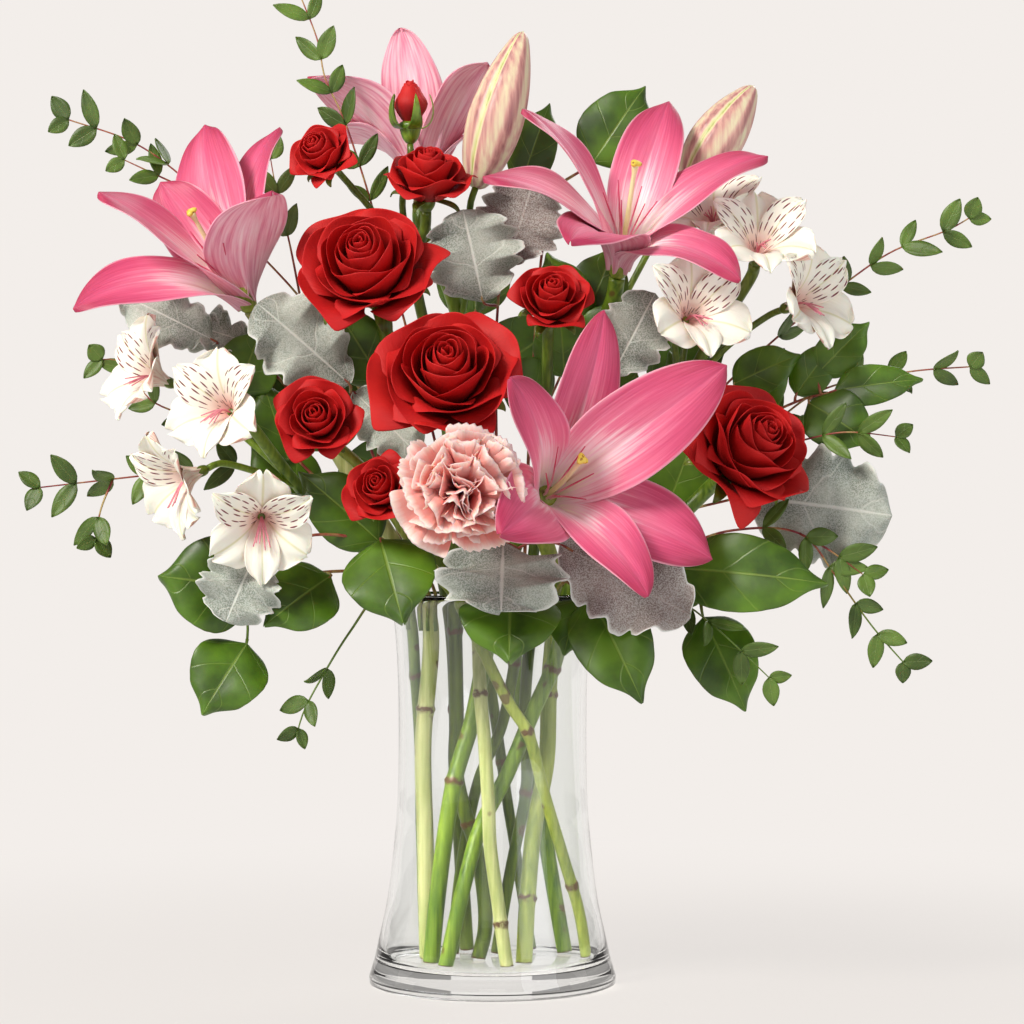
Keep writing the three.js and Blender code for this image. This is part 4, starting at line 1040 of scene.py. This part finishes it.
bm = new_plant()
CALYX_SECTION = [(0, 0), (5, 0), (7.3, 4), (7.6, 12), (7.2, 20), (8.4, 24), (6.5, 24), (0, 23)]
turned(bm, CALYX_SECTION, 20, 5, 0.04, stand)
finish_piece("carnation_calyx", bm, [bright_stem], levels=1)

# %% [markdown]
# ## Alstroemeria
#
# Each floret is a trumpet of six tepals. Three are broad, notched and plain; the other
# three are narrower, and the two upper ones carry maroon dashes like brush strokes that
# lead to the throat. Six pink filaments curve out over the lowest tepal.


# %% Alstroemeria finish
def cream_tepal(name, dashed):
    """Cream-white skin with a pink throat and a green-yellow midvein, dashed or plain."""
    material, tree, shader = start_finish(name, Roughness=0.55, Subsurface_Weight=0.15,
                                          Subsurface_Scale=0.003)
    flat, up, away = sheet_map(tree)
    veins = stretched_noise(tree, flat, (20, 2.5, 1), 3.0)
    along = put(tree, "Math", {0: veins, 1: 0.2, 2: up}, operation="MULTIPLY_ADD")
    skin = put(tree, "ValToRGB", {"Fac": along},
               stops=[(0.1, "#d98f86"), (0.35, "#f0cfc2"), (0.6, "#f3ecdf"),
                      (1.0, "#f4f0e4")])
    vein = put(tree, "MapRange", {"Value": away, "From Min": 0.0, "From Max": 0.035,
                                  "To Min": 0.55, "To Max": 0.0})
    colour = put(tree, "Mix", {0: vein, 6: skin, 7: "#c3bf6a"}, data_type="RGBA")
    if dashed:
        # A dash is under 1 mm across and 5 to 6 mm long, one to each cell of the pattern.
        cells = put(tree, "Mapping", {"Vector": flat, "Scale": (7, 5.5, 1)})
        spots = put(tree, "TexVoronoi", {"Vector": cells, "Scale": 1.0,
                                         "Randomness": 0.75}, voronoi_dimensions="2D")
        gap = put(tree, "VectorMath", {0: cells, 1: spots.outputs["Position"]}, operation="SUBTRACT")
        slim = put(tree, "Mapping", {"Vector": gap, "Scale": (2.6, 1, 1)})
        length = put(tree, "VectorMath", {0: slim}, operation="LENGTH")
        dash = put(tree, "MapRange", {"Value": length, "From Min": 0.4, "From Max": 0.3})
        zone = put(tree, "MapRange", {"Value": up, "From Min": 0.92, "From Max": 0.86})
        inked = put(tree, "Math", {0: dash, 1: zone}, operation="MULTIPLY")
        colour = put(tree, "Mix", {0: inked, 6: colour, 7: "#6d1426"}, data_type="RGBA")
    bump = put(tree, "Bump", {"Height": veins, "Strength": 0.35, "Distance": 0.0008})
    feed(shader, Base_Color=colour, Normal=bump)
    return material


plain_cream = cream_tepal("plain_cream_tepal", dashed=False)
dashed_cream = cream_tepal("dashed_cream_tepal", dashed=True)
blushed_back, tree, shader = start_finish("blushed_tepal_back", Roughness=0.6, Subsurface_Weight=0.15,
                                          Subsurface_Scale=0.003)
flat = put(tree, "UVMap", uv_map="across_along")
streaks = stretched_noise(tree, flat, (14, 1.6, 1), 3.0)
shades = put(tree, "ValToRGB", {"Fac": streaks},
             stops=[(0.35, "#f1e6d8"), (0.52, "#ecd3c4"), (0.68, "#cf9787")])
feed(shader, Base_Color=shades)

# %% One floret


def upright_frame(base, facing):
    """Like facing_frame, but the flower's +Y stays as near upright as it can."""
    ahead = Vector(facing).normalized()
    side = UP.cross(ahead).normalized()
    turn = Matrix((side, ahead.cross(side), ahead)).transposed().to_4x4()
    return Matrix.Translation(Vector(base)) @ turn


def floret_tepal(bm, degrees, half, long, flare, notch, wave, blunt):
    """One tepal of a floret on the origin that faces +Z, at an angle round it."""
    angle = math.radians(degrees)
    out = Vector((math.cos(angle), math.sin(angle), 0))
    root = out * 2.0 + UP * 3
    tip = out * long + UP * (27 + flare)
    spine = bezier(root, root + out * 2.5 + UP * 13, tip - out * 0.5 * long + UP * 3, tip)

    def outline(v):
        rise = math.sin(min(1.0, v / 0.68) * math.pi / 2) ** 1.6
        fall = 1 - (max(0.0, v - 0.68) / 0.32) ** blunt
        return 1.2 + (half - 1.2) * rise * max(0.06, fall) ** 0.5

    def lift(u, v):
        cup = 0.3 * half * u * u * (1 - 0.9 * v)
        return cup + wave * math.sin(7 * u + degrees) * v ** 3 - 0.5 * math.exp(-((u / 0.15) ** 2))

    def slide(u, v):
        return -0.1 * u * u * v - notch * math.exp(-((u / 0.16) ** 2)) * step_up(0.8, 1.0, v)
    return sheet(bm, 12, 14, blade(spine, UP - out * 0.2, outline, lift, slide), tone=0.5)


def floret(plain, dashed, frame_here, seed):
    """Adds a floret's tepals to two meshes: the plain ones and the two dashed ones."""
    chance = random.Random(seed)
    for degrees in (90, 212, 328):
        made = floret_tepal(plain, degrees, chance.uniform(14, 16), chance.uniform(30, 34),
                            chance.uniform(-4, 2), 0.08, chance.uniform(1.8, 2.8), 4.5)
        bmesh.ops.transform(plain, matrix=frame_here, verts=made)
    made = floret_tepal(plain, 270, 9.5, 31, chance.uniform(-1, 2), 0.0, 1.2, 2.6)
    bmesh.ops.transform(plain, matrix=frame_here, verts=made)
    for degrees in (38, 142):
        made = floret_tepal(dashed, degrees, 10.5, chance.uniform(31, 34), chance.uniform(0, 5), 0.0,
                            1.2, 2.6)
        bmesh.ops.transform(dashed, matrix=frame_here, verts=made)


# %% All the florets
for number, (name, (middle, facing)) in enumerate(FLORETS.items()):
    stand = upright_frame(floret_base[name], facing)
    plain_bm, dashed_bm, thread = new_plant(), new_plant(), new_plant()
    floret(plain_bm, dashed_bm, stand, seed=80 + number)
    finish_piece(name + "_plain", plain_bm, [plain_cream, blushed_back], name,
                 thickness=0.5)
    finish_piece(name + "_dashed", dashed_bm, [dashed_cream, blushed_back],
                 thickness=0.5)
    chance = random.Random(90 + number)
    for i in range(6):
        sway = Vector((chance.uniform(-5, 5), -7 - chance.uniform(0, 5), 25 + chance.uniform(0, 5)))
        points = (Vector((0, 0, 6)), Vector((sway.x * 0.3, -1, 16)), sway)
        line = smooth_line([stand @ p for p in points], 3.0)
        tube(thread, line, lambda i, t: 0.5 - 0.15 * t, 5, lambda t: 0.5)
    finish_piece(name + "_filaments", thread, [filament_pink], levels=0)
    hip = new_plant()
    turned(hip, [(0, 0), (2.4, 0), (3.4, 2.5), (3.2, 6), (2.2, 8), (0, 8)], 12, 6, 0.08, stand)
    finish_piece(name + "_hip", hip, [olive_stem])
print("florets", len(FLORETS))

# %% [markdown]
# ## Greens
#
# Three greens fill the gaps: salal with broad leathery leaves, dusty miller with felted
# silver ones cut into scallops, and slender eucalyptus with leaves in opposite pairs.
# They share one leaf: a sheet folded a little along its midrib on a bowed spine.


# %% Leaf finishes
def veined_leaf(name, shade, light, vein, roughness, veins_a_side, vein_mix, felt):
    """A leaf skin with a midrib and side veins that leave it at a slant."""
    material, tree, shader = start_finish(name, Roughness=roughness, Subsurface_Weight=0.05,
                                          Subsurface_Scale=0.002)
    where = put(tree, "TexCoord")
    _, up, away = sheet_map(tree)
    cloud = put(tree, "TexNoise", {"Vector": where.outputs["Object"], "Scale": 45.0, "Detail": 4.0})
    patch = put(tree, "MapRange", {"Value": cloud, "From Min": 0.35, "From Max": 0.65})
    skin = put(tree, "Mix", {0: patch, 6: shade, 7: light}, data_type="RGBA")
    # A side vein climbs by the same amount for each step away from the midrib.
    climb = put(tree, "Math", {0: away, 1: -0.55, 2: up}, operation="MULTIPLY_ADD")
    wobble = put(tree, "Math", {0: cloud, 1: 0.05, 2: climb}, operation="MULTIPLY_ADD")
    count = put(tree, "Math", {0: wobble, 1: veins_a_side}, operation="MULTIPLY")
    saw = put(tree, "Math", {0: count, 1: 1.0}, operation="PINGPONG")
    line = put(tree, "MapRange", {"Value": saw, "From Min": 0.07, "From Max": 0.0, "To Max": 0.6})
    midrib = put(tree, "MapRange", {"Value": away, "From Min": 0.022, "From Max": 0.008})
    both = put(tree, "Math", {0: line, 1: midrib}, operation="MAXIMUM")
    share = put(tree, "Math", {0: both, 1: vein_mix}, operation="MULTIPLY")
    colour = put(tree, "Mix", {0: share, 6: skin, 7: vein}, data_type="RGBA")
    if felt:
        rim = put(tree, "MapRange", {"Value": away, "From Min": 0.44, "From Max": 0.5, "To Max": 0.8})
        colour = put(tree, "Mix", {0: rim, 6: colour, 7: "#eef0ec"}, data_type="RGBA")
        # Felt hairs are finer than the eye sees from here, so they are drawn 0.6 mm apart.
        hairs = put(tree, "TexNoise", {"Vector": where.outputs["Object"], "Scale": 1500.0,
                                       "Detail": 2.0})
        fuzz = put(tree, "MapRange", {"Value": hairs, "From Min": 0.4, "From Max": 0.6, "To Max": 0.45})
        colour = put(tree, "Mix", {0: fuzz, 6: colour, 7: "#d5d9d4"}, data_type="RGBA")
    quilt = put(tree, "Math", {0: both, 1: -0.6, 2: cloud}, operation="MULTIPLY_ADD")
    bump = put(tree, "Bump", {"Height": quilt, "Strength": 0.4, "Distance": 0.0012})
    feed(shader, Base_Color=colour, Normal=bump)
    return material


salal_skin = veined_leaf("leathery_salal_leaf", "#2f4b06", "#547a12", "#93ab48", 0.42, 6, 0.35, felt=False)
silver_felt = veined_leaf("silver_felted_leaf", "#6a7368", "#a7aea2", "#e4e6dd", 0.95, 5, 0.6, felt=True)
mauve_felt = veined_leaf("mauve_felted_underside", "#6a5c58", "#8a7c77", "#b3a7a1", 0.95, 5, 0.5, felt=True)
gum_skin = veined_leaf("dull_eucalyptus_leaf", "#384f12", "#5f7d2c", "#9bae68", 0.5, 4, 0.25, felt=False)

twig_skin, tree, shader = start_finish("red_brown_twig", Roughness=0.5)
where = put(tree, "TexCoord")
streak = put(tree, "TexNoise", {"Vector": where.outputs["Object"], "Scale": 120.0, "Detail": 2.0})
shades = put(tree, "ValToRGB", {"Fac": streak},
             stops=[(0.35, "#7a1f2b"), (0.5, "#9a4a3a"), (0.65, "#a9925a")])
height = put(tree, "SeparateXYZ", {0: where.outputs["Object"]})
aged = put(tree, "MapRange", {"Value": height.outputs["Z"], "From Min": 0.2, "From Max": 0.24})
colour = put(tree, "Mix", {0: aged, 6: "#5a7420", 7: shades}, data_type="RGBA")
feed(shader, Base_Color=colour)


# %% A leafy branch
def from_neck(degrees):
    """Where a green comes up: just inside the vase's neck and over its rim, at an angle."""
    angle = math.radians(degrees)
    c, s = math.cos(angle), math.sin(angle)
    return [(47 * c, 47 * s, 196), (50.5 * c, 50.5 * s, 220)]


def nearest_to(place, points):
    return min(points, key=lambda point: (point - place).length_squared)


def leaf(bm, base, tip, width, face, shape, seed):
    """A folded, bowed leaf from base to tip."""
    chance = random.Random(seed)
    base, tip, face = Vector(base), Vector(tip), Vector(face).normalized()
    length = (tip - base).length
    spine = bowed(base, tip, face, shape["bow"] * length)
    phase = chance.uniform(0, math.tau)
    fold = shape["fold"] * chance.uniform(0.6, 1.3)

    def outline(v):
        body = math.sin(math.pi * min(1.0, v) ** shape["skew"]) ** shape["blunt"] if 0 < v < 1 else 0.0
        body *= 1 - shape["drip"] * step_up(0.72, 0.96, v)
        scallop = 2 * abs(math.sin(math.pi * shape["lobe_count"] * v + phase)) ** 0.7 - 1
        scallop += 0.5 * abs(math.sin(2.5 * math.pi * shape["lobe_count"] * v + phase)) - 0.25
        return 0.4 + 0.5 * width * body * (1 + shape["lobes"] * scallop)

    def lift(u, v):
        wave = shape["wave"] * math.sin(math.tau * shape["waves"] * v + phase + 1.7 * (u > 0)) * u * u
        return fold * width * abs(u) * math.sin(math.pi * v) - 0.10 * width * u * u + wave
    sheet(bm, shape["across"], shape["along"], blade(spine, face, outline, lift))


SALAL = {"bow": 0.12, "skew": 0.7, "blunt": 0.66, "drip": 0.6, "lobes": 0.01, "lobe_count": 9, "fold": 0.12,
         "wave": 1.6, "waves": 1.5, "across": 10, "along": 24}
DUSTY_MILLER = {"bow": 0.06, "skew": 1.1, "blunt": 0.52, "drip": 0.0, "lobes": 0.15, "lobe_count": 6,
                "fold": 0.13, "wave": 7.0, "waves": 2.8, "across": 16, "along": 48}
TWIG = 1.1


def branch(name, spec, shape, skins, seed):
    """Builds a branch: its twigs as one piece, its leaves as another."""
    leaves, wood = new_plant(), new_plant()
    rings = []
    for n, points in enumerate([spec["twig"], *spec.get("shoots", [])]):
        if n:
            points = [nearest_to(Vector(points[0]), rings), *points[1:]]
        line = smooth_line(points, 5.0)
        rings += line
        tube(wood, line, lambda i, t, n=n: TWIG * (1 - 0.35 * t) * (0.85 if n else 1), 8, 0.0)
    for k, entry in enumerate(spec["leaves"]):
        base, tip, width, *own = entry
        face = Vector(own[0] if own else spec.get("facing", (0, -1, 0.2)))
        ring = nearest_to(Vector(base), rings)
        stalk = smooth_line([ring, Vector(base), Vector(base).lerp(Vector(tip), 0.1)], 3.0)
        tube(wood, stalk, lambda i, t: 0.95 - 0.35 * t, 6, 0.0)
        leaf(leaves, base, tip, width, face, shape, seed + k)
    finish_piece(name + "_leaves", leaves, skins, name, thickness=0.6)
    finish_piece(name + "_twigs", wood, [twig_skin], levels=0)


# %% Dusty miller
TURNED = (0, 1, -0.2)  # a leaf that shows its underside to the front
DUSTY_BRANCHES = {
    "dusty_miller_left": {"twig": [(-36, 6, 196), (-60, -4, 275), (-77, -24, 325)], "leaves": [
        ((-77, -30, 329), (-126, -44, 372), 44), ((-75, -22, 325), (-40, -30, 291), 30)]},
    "dusty_miller_far_left": {"twig": [*from_neck(152), (-85, 15, 290), (-130, -2, 345), (-150, -8, 352)],
        "leaves": [((-151, -10, 353), (-203, -16, 379), 30),
                   ((-132, -4, 352), (-172, -8, 364), 24, (0, -0.9, 0.4))]},
    "dusty_miller_top": {"twig": [(4, 20, 200), (2, 12, 300), (2, -4, 355), (4, -8, 388)], "leaves": [
        ((-5, -18, 374), (-16, -26, 424), 50), ((8, -10, 396), (22, -10, 441), 44, TURNED)]},
    "dusty_miller_middle": {"twig": [(20, 20, 200), (40, 4, 275), (63, -32, 328)], "leaves": [
        ((65, -38, 334), (88, -36, 378), 36)]},
    "dusty_miller_right": {"twig": [*from_neck(4), (95, -6, 256), (134, -22, 268)], "leaves": [
        ((138, -27, 268), (216, -34, 258), 58)]},
    "dusty_miller_front": {"twig": [*from_neck(-88), (7, -64, 236), (22, -72, 245)], "leaves": [
        ((6, -74, 244), (5, -100, 208), 62), ((36, -75, 243), (104, -94, 206), 48, TURNED)]},
    "dusty_miller_low_left": {"twig": [*from_neck(-143), (-62, -46, 242), (-92, -62, 248), (-122, -68, 240)],
        "leaves": [((-125, -68, 238), (-140, -76, 202), 40)]},
}
for number, (name, spec) in enumerate(DUSTY_BRANCHES.items()):
    branch(name, spec, DUSTY_MILLER, [silver_felt, mauve_felt], 200 + 10 * number)

# %% Salal
SALAL_BRANCHES = {
    "salal_left": {"twig": [*from_neck(-164), (-85, -36, 228), (-128, -45, 216), (-131, -48, 192)],
        "leaves": [((-128, -46, 218), (-178, -58, 226), 52), ((-131, -48, 190), (-154, -62, 152), 42),
                   ((-86, -48, 226), (-120, -74, 200), 38)]},
    "salal_upper_left": {"twig": [*from_neck(165), (-80, 8, 260), (-118, -4, 300), (-138, -6, 322)],
        "shoots": [[(-70, 10, 250), (-62, 2, 300), (-60, -8, 330)]],
        "leaves": [((-122, 6, 300), (-144, 10, 350), 38), ((-139, -6, 324), (-126, -18, 360), 34),
                   ((-112, -2, 288), (-126, -8, 332), 28), ((-98, 6, 264), (-134, 2, 302), 34),
                   ((-60, -10, 330), (-86, -20, 372), 34)]},
    "salal_front_left": {"twig": [*from_neck(-129), (-48, -56, 234), (-56, -62, 244)], "leaves": [
        ((-59, -70, 246), (-46, -96, 202), 50), ((-60, -52, 244), (-104, -48, 282), 36)]},
    "salal_front": {"twig": [*from_neck(-70), (32, -58, 226), (48, -60, 218)], "leaves": [
        ((10, -62, 219), (9, -90, 182), 54), ((52, -64, 216), (79, -90, 160), 42),
        ((46, -60, 214), (38, -70, 184), 24)]},
    "salal_low_right": {"twig": [*from_neck(-44), (66, -46, 230), (98, -50, 226), (112, -46, 210)],
        "leaves": [((113, -46, 204), (135, -62, 154), 38), ((98, -54, 230), (178, -72, 222), 42)]},
    "salal_right": {"twig": [*from_neck(17), (95, 8, 262), (140, 2, 306), (168, -8, 321), (184, -14, 325)],
        "leaves": [((186, -15, 326), (234, -24, 332), 22), ((172, -14, 320), (206, -30, 296), 34),
                   ((166, -8, 324), (188, -8, 354), 22), ((178, -10, 336), (206, -12, 364), 24),
                   ((140, 0, 312), (160, -6, 350), 24), ((132, -2, 330), (168, -16, 346), 26),
                   ((96, 0, 262), (112, -8, 306), 34), ((116, 14, 288), (98, 22, 350), 36)]},
    "salal_top": {"twig": [*from_neck(70), (22, 50, 330), (30, 46, 420), (40, 40, 446)],
        "shoots": [[(22, 50, 300), (36, 24, 332), (44, 2, 352)]],
        "leaves": [((56, 36, 456), (86, 42, 500), 40), ((16, 36, 444), (32, 40, 490), 26),
                   ((46, 0, 356), (30, -12, 402), 34), ((48, -2, 350), (86, -10, 368), 32),
                   ((40, 10, 334), (36, -20, 374), 32), ((30, 24, 318), (6, -14, 342), 34),
                   ((46, 6, 352), (68, 2, 408), 38)]},
    "salal_back": {"twig": [*from_neck(90), (0, 56, 250), (-6, 68, 300), (-10, 74, 370)],
        "shoots": [[(0, 56, 250), (40, 60, 290), (88, 50, 330)],
                   [(0, 56, 250), (-44, 58, 290), (-88, 44, 330)]],
        "facing": (0, 1, 0.25),
        "leaves": [
            ((-4, 62, 262), (-42, 86, 236), 44), ((2, 64, 270), (46, 88, 246), 44),
            ((-8, 70, 322), (-56, 90, 346), 42), ((-4, 72, 338), (40, 90, 368), 42),
            ((-10, 74, 370), (-14, 84, 430), 42), ((42, 60, 290), (90, 76, 268), 40),
            ((64, 57, 308), (66, 76, 362), 38), ((88, 50, 332), (134, 46, 356), 36),
            ((74, 55, 318), (122, 60, 300), 34), ((-46, 58, 290), (-94, 72, 268), 40),
            ((-66, 54, 308), (-82, 70, 364), 38), ((-88, 44, 332), (-134, 40, 354), 36),
            ((-76, 50, 318), (-124, 56, 300), 34)]},
}
for number, (name, spec) in enumerate(SALAL_BRANCHES.items()):
    branch(name, spec, SALAL, [salal_skin], 400 + 20 * number)

# %% Eucalyptus
GUM_LEAF, GUM_HALF_WIDTH, GUM_SPACING, LEAFY_RUN = 21, 4.7, 23, 150
EUCALYPTUS = {
    "eucalyptus_top": (0.5, [[*from_neck(108), (-40, 40, 330), (-60, 24, 405), (-73, 12, 450), (-83, 12, 479),
                              (-93, 14, 501), (-97, 16, 521), (-109, 20, 552)]]),
    "eucalyptus_upper_left": (0.42, [
        [*from_neck(123), (-70, 32, 320), (-104, 20, 375), (-128, 18, 402), (-161, 15, 436), (-196, 11, 463),
         (-238, 8, 478)],
        [(-106, 20, 378), (-113, 18, 410), (-121, 18, 443), (-124, 18, 460)],
        [(-160, 15, 435), (-183, 9, 445), (-207, 6, 456)]]),
    "eucalyptus_left": (0.5, [
        [*from_neck(139), (-90, 26, 262), (-140, 14, 286), (-167, 8, 283), (-210, 0, 278), (-252, -6, 273)],
        [(-142, 13, 287), (-167, 10, 311), (-189, 8, 322), (-206, 5, 343), (-219, 2, 344)],
        [(-208, 0, 278), (-215, -4, 261), (-218, -6, 242)]]),
    "eucalyptus_low_left": (0.4, [[*from_neck(-136), (-56, -41, 221), (-76, -46, 196), (-90, -55, 173),
                                   (-100, -58, 154), (-104, -60, 141)]]),
    "eucalyptus_right": (0.55, [[*from_neck(56), (90, 30, 290), (150, 18, 350), (197, 10, 388), (221, 8, 404),
                                 (252, 6, 416), (266, 4, 424)]]),
    "eucalyptus_middle_right": (0.5, [
        [*from_neck(37), (110, 20, 272), (150, 16, 304), (181, 8, 327), (228, 0, 337), (266, -4, 340)],
        [(146, 16, 300), (162, -18, 298), (190, -38, 303), (221, -40, 300)]]),
    "eucalyptus_low_right": (0.55, [
        [*from_neck(-10), (92, -14, 236), (129, -34, 250), (166, -44, 248), (184, -46, 226), (204, -50, 198),
         (222, -54, 177)],
        [(164, -44, 248), (180, -46, 240), (202, -48, 224)],
        [(92, -14, 235), (100, -28, 214), (110, -58, 206), (126, -70, 192), (149, -76, 170)]]),
}
for number, (name, (leafy, lines)) in enumerate(EUCALYPTUS.items()):
    chance = random.Random(700 + number)
    leaves, wood = new_plant(), new_plant()
    rings = []
    for n, points in enumerate(lines):
        if n:
            points = [nearest_to(Vector(points[0]), rings), *points[1:]]
        line = smooth_line(points, 4.0)
        rings += line
        tube(wood, line, lambda i, t, n=n: (1.0 if n == 0 else 0.75) * (1 - 0.6 * t), 7, 0.0)
        length = 4.0 * (len(line) - 1)
        run = 0.85 * length if n else min(LEAFY_RUN, leafy * length)
        pairs = max(2, round(run / GUM_SPACING))
        for k in range(pairs):
            spot = round((len(line) - 1) * (1 - (run / length) * k / pairs))
            spot = min(spot, len(line) - 2)
            at = line[spot]
            along = (line[spot + 1] - line[spot - 1]).normalized()
            sweep = 0.6 * math.sin(2.4 * k) + chance.uniform(-0.5, 0.5)
            view = Matrix.Rotation(sweep, 3, along) @ Vector((0, -1, 0))
            side = along.cross(view).normalized()
            for hand in (-1, 1):
                grow = GUM_LEAF * chance.uniform(0.72, 1.1) * (0.7 if k == 0 else 1)
                way = (along * chance.uniform(0.6, 1.0) + side * hand * chance.uniform(0.6, 1.0)).normalized()
                face = (view + side * chance.uniform(-0.5, 0.5)).normalized()
                spine = bowed(at, at + way * grow, face, 0.06 * grow)
                half = GUM_HALF_WIDTH * chance.uniform(0.75, 1.1)

                def outline(v, half=half):
                    return 0.15 + half * math.sin(math.pi * v ** 0.85) ** 0.8

                def lift(u, v, half=half):
                    return 0.18 * half * abs(u)
                sheet(leaves, 4, 8, blade(spine, face, outline, lift))
    finish_piece(name + "_leaves", leaves, [gum_skin], name, thickness=0.45, levels=0)
    finish_piece(name + "_twigs", wood, [twig_skin], levels=0)
print("greens", len(DUSTY_BRANCHES) + len(SALAL_BRANCHES) + len(EUCALYPTUS))
